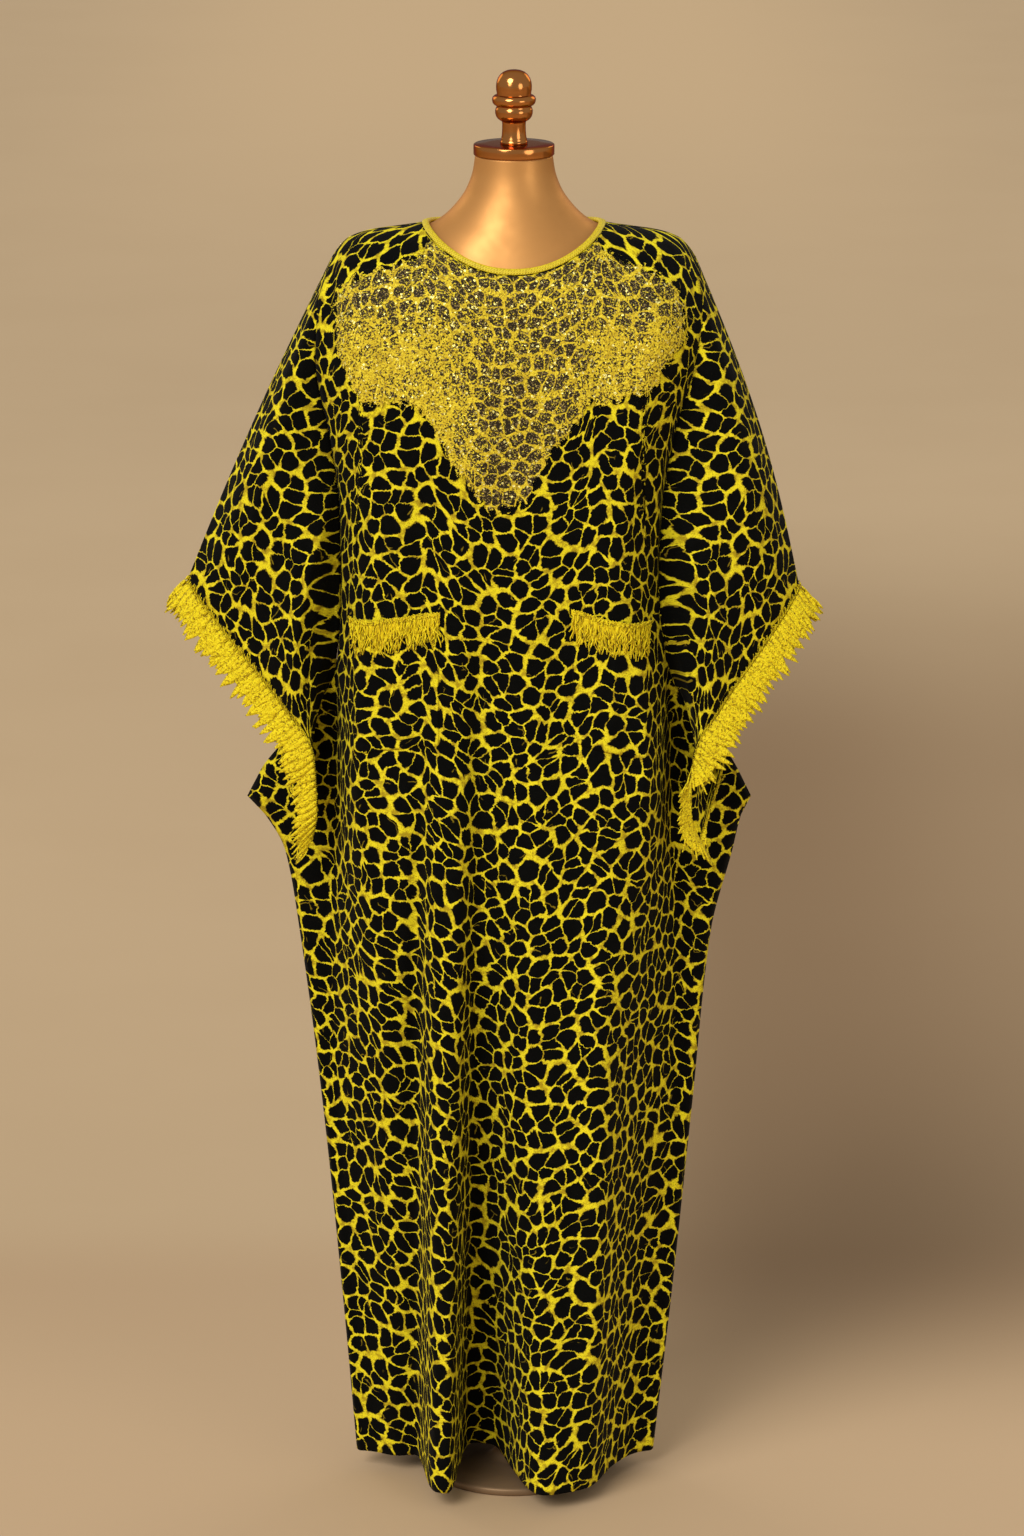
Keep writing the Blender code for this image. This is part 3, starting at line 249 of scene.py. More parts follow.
# Creases of a sleeve: how far down the armhole and how far out each begins and ends, its half width
# as a share of the armhole, and how far it stands out
SLEEVE_CREASES = {
    "front": (
        (0.16, 0.05, 0.24, 1.10, 0.035, 0.0050),
        (0.30, 0.10, 0.40, 1.05, 0.030, -0.0050),
        (0.44, 0.02, 0.55, 1.00, 0.032, 0.0046),
        (0.60, 0.05, 0.68, 0.95, 0.026, -0.0046),
        (0.72, 0.05, 0.80, 0.90, 0.024, 0.0040),
        (0.52, 0.20, 0.30, 0.80, 0.020, 0.0026),
    ),
    "back": (
        (0.18, 0.05, 0.26, 1.05, 0.034, 0.0044),
        (0.34, 0.08, 0.44, 1.00, 0.032, -0.0050),
        (0.50, 0.05, 0.58, 0.95, 0.030, 0.0046),
        (0.66, 0.05, 0.72, 0.90, 0.026, -0.0040),
    ),
}

# Lace of the cuffs: which way it points at the tip, half way down, at the knee and at the bottom
LACE_WAY_COLUMNS = ("along", "out", "forward", "down")
LACE_WAYS = (
    (0.00, 0.74, 0.00, 0.68), (0.35, 0.78, 0.10, 0.62), (0.68, 0.86, 0.12, 0.50),
    (0.86, 0.84, 0.12, 0.54), (1.00, 0.45, 0.10, 0.88),
)
LACE_BAND = 0.028
LACE_LEAF = 0.0145
LACE_WALL = 0.0012
LACE_ROWS = 9
LACE_SEEDS = {"left": 7, "right": 11}
# Rows of leaves: where each starts and where its stem ends on the band, the share of a leaf's length
# that goes past it, and how far it stands off
LACE_LAYERS = (
    (0.52, 0.86, 1.0, 0.0008), (0.34, 0.86, 0.42, 0.0019), (0.10, 0.72, 0.0, 0.0027),
)
LACE_TUCK = 0.55
LACE_LOW_TURN = {"left": 0.0, "right": 1.6}
LACE_TUCK_SHARE = 0.975
LACE_TUCK_REACH = 0.055
LACE_SIZE_COLUMNS = ("along", "size")
LACE_SIZES = (
    (0.00, 1.00), (0.50, 1.00), (0.64, 1.04), (0.76, 0.84), (0.86, 0.86), (0.94, 1.04), (1.00, 0.86),
)
LEAF_SHAPE = (0.70, 0.98, 1.00, 0.88, 0.60, 0.16)
KNOT_SHAPE = (0.90, 1.00, 0.85, 0.30)
LEAF_CROWN = 0.0011
LEAF_CURL = 0.0016
LACE_BEHIND = (
    (0.50, 1.00), (0.74, 1.00), (0.81, 0.40), (0.86, 0.14), (0.97, 0.12), (1.00, 0.60),
)

# Yoke, pockets, fringes and binding
SLOPE_STEP = 0.0015
OVERLAY_LIFT = 0.0009
YOKE_COLUMNS = ("x", "low", "high")
YOKE_OUTLINE = (
    (-0.2040, 1.3720, 1.4060), (-0.1930, 1.3450, 1.4300), (-0.1750, 1.3080, 1.4440),
    (-0.1500, 1.2960, 1.4530), (-0.1200, 1.3010, 1.4620), (-0.0950, 1.2780, 1.4740),
    (-0.0650, 1.2260, 1.4900), (-0.0400, 1.1940, 1.4900), (-0.0180, 1.1780, 1.4900),
    (0.0080, 1.1860, 1.4900), (0.0320, 1.2280, 1.4900), (0.0600, 1.2680, 1.4900),
    (0.0900, 1.2980, 1.4760), (0.1200, 1.3030, 1.4630), (0.1500, 1.3130, 1.4530),
    (0.1720, 1.3420, 1.4400), (0.1880, 1.3600, 1.4180), (0.1960, 1.3740, 1.4020),
)
YOKE_STEPS = (190, 120)
YOKE_RAGS = ((310.0, 0.0022, 0.3), (570.0, 0.0018, 1.9), (990.0, 0.0014, 4.4), (140.0, 0.0026, 2.7))
YOKE_WALL = 0.0006
POCKETS = {
    "left": (-0.181, -0.084, 1.049, 1.066),
    "right": (0.066, 0.150, 1.067, 1.044),
}
POCKET_DEPTH = 0.150
POCKET_STEPS = (44, 60)
POCKET_WALL = 0.0008
FRINGE_SEEDS = {"left": 23, "right": 29}
FRINGE_LAYERS = (1.0, 0.92, 0.62, -0.15)
FRINGE_STEPS = 9
FRINGE_RADIUS = 0.00105
FRINGE_HEADER = 0.007
FRINGE_OVERHANG = 0.004
BINDING_STEPS = 200
BINDING_SMOOTHING = 10
BINDING_WALL = 0.0006
BINDING_SECTION = (
    (0.0062, 0.0004), (0.0059, 0.0014), (0.0045, 0.0021), (0.0022, 0.0023), (0.0001, 0.0020),
    (-0.0012, 0.0011), (-0.0016, -0.0004), (-0.0014, -0.0030),
)

# Dress form below the shoulders, its cap and finial, pole and foot
FORM_COLUMNS = ("half_width", "front", "back", "side_height", "front_height", "back_height")
FORM_RINGS = (
    (0.0435, 0.0435, 0.0435, 1.5650, 1.5650, 1.5650),
    (0.0460, 0.0450, 0.0450, 1.5480, 1.5480, 1.5480),
    (0.0530, 0.0500, 0.0480, 1.5280, 1.5250, 1.5270),
    (0.0660, 0.0590, 0.0540, 1.5090, 1.5010, 1.5030),
    (0.0820, 0.0690, 0.0600, 1.4940, 1.4800, 1.4840),
    (0.0970, 0.0780, 0.0660, 1.4860, 1.4600, 1.4680),
    (0.1350, 0.0880, 0.0750, 1.4800, 1.4340, 1.4480),
    (0.1600, 0.0940, 0.0820, 1.4765, 1.4060, 1.4200),
    (0.1790, 0.0990, 0.0880, 1.4640, 1.3700, 1.3850),
    (0.1800, 0.1060, 0.0920, 1.4250, 1.3250, 1.3400),
    (0.1680, 0.1120, 0.0960, 1.3400, 1.2600, 1.2700),
    (0.1480, 0.1080, 0.0900, 1.2300, 1.1900, 1.1800),
    (0.1280, 0.0900, 0.0780, 1.0800, 1.0800, 1.0800),
    (0.1420, 0.0960, 0.0880, 0.9700, 0.9700, 0.9700),
    (0.1560, 0.1000, 0.0960, 0.8700, 0.8700, 0.8700),
    (0.1540, 0.0980, 0.0940, 0.8000, 0.8000, 0.8000),
)
FORM_STEPS = 96
FORM_ROWS = 110
TURNED_STEPS = 96
SHARP_ANGLE = math.radians(50)
FORM_TOP = 1.565
CAP_PROFILE = (
    (0.0000, 0.0000), (0.0446, 0.0000), (0.0452, 0.0003), (0.0455, 0.0010), (0.0455, 0.0108),
    (0.0452, 0.0115), (0.0445, 0.0120), (0.0300, 0.0123), (0.0160, 0.0124), (0.0000, 0.0124),
)
CAP_THICKNESS = 0.0120
PART_GAP = 0.0003
FINIAL = (
    (0.0000, 0.0000), (0.0150, 0.0000), (0.0154, 0.0010), (0.0153, 0.0028), (0.0146, 0.0036),
    (0.0147, 0.0048), (0.0143, 0.0060), (0.0137, 0.0090), (0.0133, 0.0150), (0.0132, 0.0215),
    (0.0134, 0.0240), (0.0140, 0.0252), (0.0158, 0.0262), (0.0182, 0.0280), (0.0200, 0.0305),
    (0.0210, 0.0338), (0.0212, 0.0368), (0.0206, 0.0396), (0.0196, 0.0413), (0.0198, 0.0424),
    (0.0220, 0.0436), (0.0238, 0.0456), (0.0245, 0.0482), (0.0246, 0.0502), (0.0238, 0.0526),
    (0.0218, 0.0543), (0.0194, 0.0552), (0.0193, 0.0568), (0.0200, 0.0605), (0.0201, 0.0650),
    (0.0195, 0.0695), (0.0180, 0.0738), (0.0154, 0.0776), (0.0118, 0.0805), (0.0076, 0.0822),
    (0.0034, 0.0829), (0.0000, 0.0830),
)
POLE_RADIUS = 0.0125
POLE_TOP = 0.860
POLE_PROFILE = (
    (0, 0.0402), (POLE_RADIUS - 0.0003, 0.0402), (POLE_RADIUS, 0.0406), (POLE_RADIUS, POLE_TOP),
    (0, POLE_TOP),
)
FOOT_PROFILE = (
    (0.0000, 0.0000), (0.0978, 0.0000), (0.0992, 0.0006), (0.1000, 0.0020), (0.1000, 0.0066),
    (0.0992, 0.0080), (0.0970, 0.0095), (0.0620, 0.0122), (0.0340, 0.0144), (0.0270, 0.0168),
    (0.0228, 0.0230), (0.0200, 0.0310), (0.0180, 0.0380), (0.0172, 0.0396), (0.0160, 0.0400),
    (0.0000, 0.0400),
)

# Metals: the setting that holds the colour, roughness, how metallic, scale of the grain, coat and the
# tint towards an edge
METALS = {
    "satin gold": ("skin_colour", 0.46, 0.62, 900.0, 0.0, (0.26, 0.12, 0.04)),
    "polished copper": ("copper_colour", 0.15, 1.0, 600.0, 0.20, (0.30, 0.14, 0.06)),
    "dark bronze": ("stand_colour", 0.55, 0.40, 700.0, 0.0, (0.60, 0.40, 0.25)),
}

# Studio
FLOOR_HALF = 40
SUN_WAY = (0.50, 0.86, -0.80)
SUN_ANGLE = math.radians(32)
SUN_COLOUR = (1.0, 0.97, 0.93)
LAMP_AIM = Vector((0, 0, 0.95))
LAMP_COLOUR = (1.0, 0.96, 0.90)
LAMPS = (
    ("key", (-1.9, -3.6, 2.9), 1.5, "key_power"), ("fill", (3.2, -3.4, 2.0), 2.2, "fill_power"),
    ("back left", (-2.8, 3.2, 2.8), 2.4, "fill_power"),
    ("back right", (2.8, 3.4, 3.0), 2.4, "fill_power"),
)
ROOM_COLOUR = (1.0, 0.93, 0.83, 1)
CAMERA_PLACE = (-0.0022, -6.7, 2.6)
CAMERA_PITCH = math.radians(14.6)
CAMERA_LENS = 141.1
CAMERA_SENSOR = 36

# Panels that are already worked out
PANELS = {}


def smooth_read(rows, columns, name, at):
    """One column of a table, read at the places at, on a smooth curve that never overshoots."""
    x = np.array([row[0] for row in rows], float)
    y = np.array([row[columns.index(name)] for row in rows], float)
    order = np.argsort(x)
    x, y = x[order], y[order]
    step = np.diff(x)
    slope = np.diff(y) / step
    tangent = np.zeros(len(x))
    tangent[0], tangent[-1] = slope[0], slope[-1]
    same_way = slope[:-1] * slope[1:] > 0
    mean = 2 * slope[:-1] * slope[1:] / np.where(same_way, slope[:-1] + slope[1:], 1)
    tangent[1:-1] = np.where(same_way, mean, 0)
    at = np.clip(np.asarray(at, float), x[0], x[-1])
    i = np.clip(np.searchsorted(x, at) - 1, 0, len(x) - 2)
    t = (at - x[i]) / step[i]
    rise = y[i] * (1 + 2 * t) * (1 - t) ** 2 + y[i + 1] * t**2 * (3 - 2 * t)
    return rise + step[i] * (tangent[i] * t * (1 - t) ** 2 + tangent[i + 1] * t**2 * (t - 1))


def section(name, height):
    """One measure of the robe at a height. The panels' ends run straight to the wing's corner."""
    smooth = smooth_read(SECTIONS, SECTION_COLUMNS, name, height)
    if name not in ("left", "right"):
        return smooth
    rows = SECTIONS[WING_ROWS[0] : WING_ROWS[1]]
    heights = [row[0] for row in rows]
    straight = np.interp(height, heights, [row[SECTION_COLUMNS.index(name)] for row in rows])
    beside = (np.asarray(height) >= heights[0]) & (np.asarray(height) <= heights[-1])
    return np.where(beside, straight, smooth)


def quarter_round(share):
    """Rises from 0 to 1 as a quarter of a circle does."""
    return np.sqrt(np.clip(1 - (1 - np.clip(share, 0, 1)) ** 2, 0, 1))


def shoulder_height(x):
    """Height of the cloth's outer surface along the top of the shoulders."""
    out = np.abs(x)
    on_form = smooth_read(SHOULDER_LINE, SHOULDER_COLUMNS, "height", out)
    neck_side = smooth_read(SHOULDER_LINE, SHOULDER_COLUMNS, "height", NECK_HALF_WIDTH)
    over_neck = neck_side + NECK_CREST * (1 - (out / NECK_HALF_WIDTH) ** 2)
    return np.where(out < NECK_HALF_WIDTH, over_neck, on_form) + REST_GAP + CAD_CLOTH


def neckline_height(x, side):
    """Height of the neck opening's edge at x."""
    lowest = NECK_FRONT_HEIGHT if side == "front" else NECK_BACK_HEIGHT
    rise = shoulder_height(NECK_HALF_WIDTH) - lowest
    return lowest + rise * np.minimum(np.abs(x) / NECK_HALF_WIDTH, 1) ** NECK_CURVE


def top_height(x, side):
    inside_neck = np.abs(x) < NECK_HALF_WIDTH
    return np.where(inside_neck, neckline_height(x, side), shoulder_height(x))


def fold_out(x, height, side):
    """How far the folds of one side stand out at x and height."""
    out = np.zeros(np.broadcast(x, height).shape)
    for x_top, x_hem, half_top, half_hem, out_top, out_hem, start, square in FOLDS[side]:
        down = np.clip((start - height) / (start - HEM_HEIGHT), 0, 1)
        grown = down**FOLD_GROWTH
        middle = x_top + (x_hem - x_top) * down
        half = half_top + (half_hem - half_top) * down
        reach = out_top * np.minimum(down / FOLD_RISE, 1) * (1 - grown) + out_hem * grown
        out = out + reach * np.exp(-(np.abs((x - middle) / half) ** square))
    return out


def crease_out(x, height, side):
    """How far the small creases and the gentle waves of one side stand out."""
    total = np.zeros(np.broadcast(x, height).shape)
    for x_from, z_from, x_to, z_to, half, out in CREASES[side]:
        along_x, along_z = x_to - x_from, z_to - z_from
        length = math.hypot(along_x, along_z)
        from_x, from_z = x - x_from, height - z_from
        t = (from_x * along_x + from_z * along_z) / length**2
        bow = CREASE_BOW * half * np.sin(5.0 * t + 40 * x_from)
        across = (from_x * along_z - from_z * along_x) / length + bow
        window = np.sin(np.clip(t, 0, 1) * math.pi) ** 0.8
        width = half * (0.75 + 0.5 * np.clip(t, 0, 1))
        total += out * window * np.exp(-((across / width) ** 2))
    for across, down, reach, start in RIPPLES:
        total += reach * np.sin(2 * math.pi * (across * x + down * height) + start)
    return total


def plain_depth(x, height, side):
    """Distance of the cloth's outer surface from the plane through the side seams."""
    left, right = section("left", height), section("right", height)
    start_left, start_right = section("start_left", height), section("start_right", height)
    soft = section("soft", height)
    from_left = np.clip((x - start_left) / soft, 0, 1)
    from_right = np.clip((start_right - x) / soft, 0, 1)
    raised = np.sin(from_left * math.pi / 2) * np.sin(from_right * math.pi / 2)
    across = (2 * x - left - right) / (right - left)
    raised = raised * (1 - CROWN * across**2)
    edge = np.maximum(np.minimum(x - left, right - x), 0)
    valley = section("valley", height)
    closed = np.asarray(height) <= UNDERARM_HEIGHT
    low = valley * np.where(closed, quarter_round(edge / valley), 1)
    top = FRONT_TURN if side == "front" else BACK_TURN
    turn = quarter_round((shoulder_height(x) - height) / top)
    near_edge = np.where(closed, quarter_round(edge / FOLD_EDGE), 1)
    folds = fold_out(x, height, side) * near_edge * np.sqrt(np.clip(raised, 0, None))
    return (low + (section(side, height) - low) * raised) * turn + folds


def depth(x, height, side):
    """The same with the small creases, which die out at the seams and over the shoulders."""
    left, right = section("left", height), section("right", height)
    edge = np.clip(np.minimum(x - left, right - x) / CREASE_EDGE, 0, 1)
    top = np.clip((top_height(x, side) - height) / CREASE_TOP, 0, 1)
    calm = (edge * edge * (3 - 2 * edge)) * (top * top * (3 - 2 * top))
    strength = bpy.context.scene.robe_cloth.crease_height
    return plain_depth(x, height, side) + strength * calm * crease_out(x, height, side)


def fine_heights():
    """Heights of the fine rows, several between each two of the solid's."""
    last = len(ROW_HEIGHTS) - 1
    table = tuple(enumerate(ROW_HEIGHTS))
    at = np.linspace(0, last, last * ROWS_BETWEEN + 1)
    return smooth_read(table, ("row", "height"), "height", at)


def spread_columns(height, side, count):
    """Places across the panel at one height, closer together where the cloth bends."""
    ends = section("start_left", height) + WING_INSET, section("start_right", height) - WING_INSET
    x = np.linspace(float(ends[0]), float(ends[1]), SPREAD_STEPS)
    y = plain_depth(x, np.full_like(x, height), side)
    dx, dy = np.diff(x), np.diff(y)
    weight = np.hypot(dx, dy)
    weight[1:] += np.abs(np.diff(np.unwrap(np.arctan2(dy, dx)))) * BEND_WEIGHT
    total = np.concatenate([[0], np.cumsum(weight)])
    return np.interp(np.linspace(0, total[-1], count + 1), total, x)


def place_columns(side, counts, heights):
    """How far across each column lies at each row."""
    neck = NECK_HALF_WIDTH / SHOULDER_END
    even = np.concatenate([
        np.linspace(-1, -neck, counts[0] + 1)[:-1],
        neck * np.sin(np.linspace(-1, 1, counts[1] + 1) * math.pi / 2)[:-1],
        np.linspace(neck, 1, counts[2] + 1),
    ])
    left, right = section("left", heights)[:, None], section("right", heights)[:, None]
    places = left + (right - left) * (even + 1) / 2
    first, last = (row * ROWS_BETWEEN for row in BLEND_HEIGHT_ROWS)
    mix = np.clip((np.arange(len(heights)) - first) / (last - first), 0, 1)[:, None]
    mix = mix * mix * (3 - 2 * mix)
    inner = slice(WING_COLUMNS, -WING_COLUMNS)
    steps = sum(counts) - 2 * WING_COLUMNS
    spread = np.array([spread_columns(height, side, steps) for height in heights])
    middle = places[:, inner] * (1 - mix) + spread * mix
    for _ in range(COLUMN_SMOOTHING):
        middle[first:-1] = (middle[first - 1 : -2] + 2 * middle[first:-1] + middle[first + 1 :]) / 4
    share = np.arange(WING_COLUMNS) / WING_COLUMNS
    beside_left = left + (middle[:, :1] - left) * share
    beside_right = middle[:, -1:] + (right - middle[:, -1:]) * (1 - share[::-1])
    places[:, inner] = middle
    places[:, :WING_COLUMNS] += (beside_left - places[:, :WING_COLUMNS]) * mix
    places[:, -WING_COLUMNS:] += (beside_right - places[:, -WING_COLUMNS:]) * mix
    return places


def panel_points(side, counts):
    """Outer points of the front or the back, row by row from the shoulders down to the hem."""
    sign = -1 if side == "front" else 1
    span = SHOULDER_END_HEIGHT - HEM_HEIGHT
    heights = fine_heights()
    places = place_columns(side, counts, heights)
    grid = np.zeros((*places.shape, 3))
    for r, row_height in enumerate(heights):
        x = places[r]
        up = (row_height - HEM_HEIGHT) / span
        z = HEM_HEIGHT + (top_height(x, side) - HEM_HEIGHT) * up
        z[0] = z[-1] = row_height
        y = sign * depth(x, z, side)
        if side == "front":
            near = np.exp(-(((x - HEM_LIFT_PLACE) / HEM_LIFT_HALF_WIDTH) ** 4))
            z = z + HEM_LIFT * near * np.clip(1 - (z - HEM_HEIGHT) / HEM_LIFT_REACH, 0, 1) ** 2
        grid[r] = np.stack([x, y, z], axis=1)
    return grid


def panel(side):
    """Outer points of a panel and where they lie on its flat cloth, worked out once."""
    key = side, round(bpy.context.scene.robe_cloth.crease_height, 4)
    if key not in PANELS:
        points = panel_points(side, FRONT_COLUMNS if side == "front" else BACK_COLUMNS)
        PANELS[key] = points, flat_lengths(points)
    return PANELS[key]


def cuff_edge(side, layer, share):
    """Points of one cuff edge at shares of the way down the armhole."""
    rows = CUFF_EDGES[layer]
    x, y, z = (smooth_read(rows, CUFF_COLUMNS, c, share) for c in CUFF_COLUMNS[1:])
    at_tip, at_underarm = CUFF_SPREAD[side]
    spread = at_tip + (at_underarm - at_tip) * share
    return np.stack([x * spread, y, z - CUFF_DROP[side] * (1 - share)], axis=1)


def sleeve_points(side, front, back):
    """Outer points of a sleeve, ring by ring from the armhole to the cuff. A ring runs from the
    underarm up the front, over the shoulder line and down the back."""
    column = 0 if side == "left" else -1
    underarm = ROW_HEIGHTS.index(UNDERARM_HEIGHT) * ROWS_BETWEEN
    arm_front = front[: underarm + 1, column]
    arm_back = back[: underarm + 1, column]
    length = np.concatenate([[0], np.cumsum(np.linalg.norm(np.diff(arm_front, axis=0), axis=1))])
    share = length / length[-1]
    cuff_front, cuff_back = cuff_edge(side, "front", share), cuff_edge(side, "back", share)
    arm = np.concatenate([arm_front[::-1], arm_back[1:-1]])
    end = np.concatenate([cuff_front[::-1], cuff_back[1:-1]])
    share = np.concatenate([share[::-1], share[1:-1]])
    way = np.concatenate([-np.ones(underarm), [0], np.ones(underarm - 1)])
    outward = -1 if side == "left" else 1
    low = np.clip((share - UNDERARM_SHARE) / (1 - UNDERARM_SHARE), 0, 1) ** 2
    beside = np.sin(np.clip((share - ARMHOLE_OUT_SHARE) / (1 - ARMHOLE_OUT_SHARE), 0, 1) * math.pi)
    strength = bpy.context.scene.robe_cloth.crease_height
    rings = []
    for a in np.linspace(0, 1, SLEEVE_RINGS + 1):
        ring = arm * (1 - a) + end * a
        middle = max(math.sin(math.pi * a), 0)
        ring[:, 0] += outward * SLEEVE_BOW[side] * middle * np.cos(share * math.pi / 2) ** 2
        ring[:, 0] += outward * ARMHOLE_OUT * middle**0.5 * beside
        round_out = np.sin(np.clip(share * PUFF_REACH, 0, 1) * math.pi) ** PUFF_SQUARE
        puff = SLEEVE_PUFF * middle * round_out
        wave = SLEEVE_FOLD * a * middle**0.5 * np.sin(share * SLEEVE_FOLD_COUNT * 2 * math.pi)
        crease = strength * min(a / 0.12, 1) * min((1 - a) / 0.06, 1) * sleeve_crease(a, share, way)
        ring[:, 1] += way * (puff + wave + crease) - UNDERARM_FORWARD * middle**0.5 * low
        rings.append(ring)
    rings = np.array(rings)
    inside = rings[1] - rings[0]
    rings[0] += unit(inside) * SEAM_SETBACK
    return rings


def sleeve_crease(out, down, way):
    """How far the creases of a sleeve stand out at one ring."""
    total = np.zeros(len(down))
    for on_layer, creases in ((way < 0, SLEEVE_CREASES["front"]), (way > 0, SLEEVE_CREASES["back"])):
        for down_from, out_from, down_to, out_to, half, rise in creases:
            t = (out - out_from) / (out_to - out_from)
            if not 0 <= t <= 1:
                continue
            middle = down_from + (down_to - down_from) * t
            middle += 0.2 * half * math.sin(6 * t + 20 * down_from)
            window = math.sin(math.pi * t) ** 0.7
            near = np.exp(-(((down - middle) / half) ** 2))
            total += np.where(on_layer, rise * window * near, 0)
    return total


def unit(vectors):
    return vectors / np.maximum(np.linalg.norm(vectors, axis=-1, keepdims=True), 1e-12)


def grid_normals(grid):
    """Unit normals of a grid's points, turned away from the upright axis."""
    normals = unit(np.cross(np.gradient(grid, axis=0), np.gradient(grid, axis=1)))
    away = (normals * grid)[..., :2].sum()
    return normals if away > 0 else -normals


def face_point(x, z, side="front"):
    """Points on a panel at x and z, and the unit normals there."""
    sign = -1 if side == "front" else 1
    step = SLOPE_STEP
    y = depth(x, z, side)
    slope_x = (depth(x + step, z, side) - depth(x - step, z, side)) / (2 * step)
    slope_z = (depth(x, z + step, side) - depth(x, z - step, side)) / (2 * step)
    normals = unit(np.stack([-slope_x, np.full_like(y, sign), -slope_z], axis=-1))
    return np.stack([x + 0 * y, sign * y, z + 0 * y], axis=-1), normals


def flat_lengths(grid, closed=False):
    """Where each point of a grid lies on the flat cloth, in metres across and down."""
    across = np.linalg.norm(np.diff(grid, axis=1), axis=2)
    across = np.concatenate([np.zeros((len(grid), 1)), np.cumsum(across, axis=1)], axis=1)
    down = np.linalg.norm(np.diff(grid, axis=0), axis=2).mean(axis=1)
    down = np.concatenate([[0], np.cumsum(down)])[:, None] + 0 * across
    middle = 0
    if not closed:
        places = [np.interp(0, row[:, 0], place) for row, place in zip(grid, across)]
        middle = np.array(places)[:, None]
    return np.stack([across - middle, -down], axis=-1)


def sleeve_lengths(rings):
    """The sleeve laid open along its shoulder line, as places on the flat cloth."""
    top = rings.shape[1] // 2
    closed = np.concatenate([rings, rings[:, :1]], axis=1)
    fold = unit(rings[-1, top] - rings[0, top])
    along = (closed - rings[0, top]) @ fold
    squares = (np.diff(closed, axis=1) ** 2).sum(axis=-1) - np.diff(along, axis=1) ** 2
    steps = np.sqrt(np.maximum(squares, 0))
    across = np.concatenate([np.zeros((len(rings), 1)), np.cumsum(steps, axis=1)], axis=1)
    return np.stack([across - across[:, top : top + 1], -along], axis=-1)


def flat_places(panel, flat, x, z):
    """Where the points x and z of a panel lie on its flat cloth, for a grid of them."""
    found = np.zeros((*x.shape, 2))
    for c in range(x.shape[1]):
        at = x[0, c]
        heights, across, down = np.array([
            [np.interp(at, row[:, 0], values) for values in (row[:, 2], *lay.T)]
            for row, lay in zip(panel, flat)
        ]).T
        found[:, c, 0] = np.interp(-z[:, c], -heights, across)
        found[:, c, 1] = np.interp(-z[:, c], -heights, down)
    return found


# Meshes


def fill_grid(bm, points, outward, flat=None, closed=False):
    """Adds a grid of points to a bmesh, with its place on the flat cloth as UVs. outward says which
    way its faces look: a point, away from which they look, or a direction with closed=False."""
    if closed:
        points = np.concatenate([points, points[:, :1]], axis=1)
    if flat is None:
        flat = flat_lengths(points, closed)
    rows, columns = points.shape[:2]
    layer = bm.loops.layers.uv.verify()
    made = bmesh.ops.create_grid(bm, x_segments=columns - 1, y_segments=rows - 1, size=1)["verts"]
    for vert, place in zip(made, points.reshape(-1, 3)):
        vert.co = place
    flat = dict(zip(made, flat.reshape(-1, 2)))
    faces = list({face for vert in made for face in vert.link_faces})
    score = 0.0
    for face in faces:
        for loop in face.loops:
            loop[layer].uv = flat[loop.vert]
        face.smooth = True
        face.normal_update()
        middle = face.calc_center_median()
        away = (middle - Vector(outward)) if closed else Vector(outward)
        score += face.normal.dot(away) * face.calc_area()
    if score < 0:
        bmesh.ops.reverse_faces(bm, faces=faces)
    if closed:
        ends = [made[r * columns + c] for r in range(rows) for c in (0, columns - 1)]
        bmesh.ops.remove_doubles(bm, verts=ends, dist=1e-6)
    return made


def add_to_scene(name, data):
    """A new object with that data, in the scene."""
    obj = bpy.data.objects.new(name, data)
    bpy.context.scene.collection.objects.link(obj)
    return obj


def object_of(name, bm, material):
    """The object of a finished bmesh, with its material."""
    mesh = bpy.data.meshes.new(name)
    bm.to_mesh(mesh)
    bm.free()
    mesh.materials.append(material)
    return add_to_scene(name, mesh)


def finish_piece(name, bm, material, node, wall=None):
    """Makes the object of a piece, with its wall, its finish and the solid that it stands for."""
    obj = object_of(name, bm, material)
    if wall:
        shell = obj.modifiers.new("wall", "SOLIDIFY")
        shell.thickness = wall
        shell.offset = -1
    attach(obj, "root")
    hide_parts(node)
    return obj


def turn_profile(name, profile, height, material, node):
    """A piece turned round the upright axis from a profile of radii and heights."""
    bm = bmesh.new()
    line = [bm.verts.new((radius, 0, z + height)) for radius, z in profile]
    edges = [bm.edges.new(pair) for pair in zip(line, line[1:])]
    bmesh.ops.spin(
        bm, geom=line + edges, cent=(0, 0, 0), axis=(0, 0, 1), dvec=(0, 0, 0),
        angle=2 * math.pi, steps=TURNED_STEPS, use_merge=True,
    )
    bmesh.ops.remove_doubles(bm, verts=bm.verts, dist=1e-6)
    bmesh.ops.recalc_face_normals(bm, faces=bm.faces)
    for face in bm.faces:
        face.smooth = True
    obj = finish_piece(name, bm, material, node)
    obj.data.set_sharp_from_angle(angle=SHARP_ANGLE)


# Materials


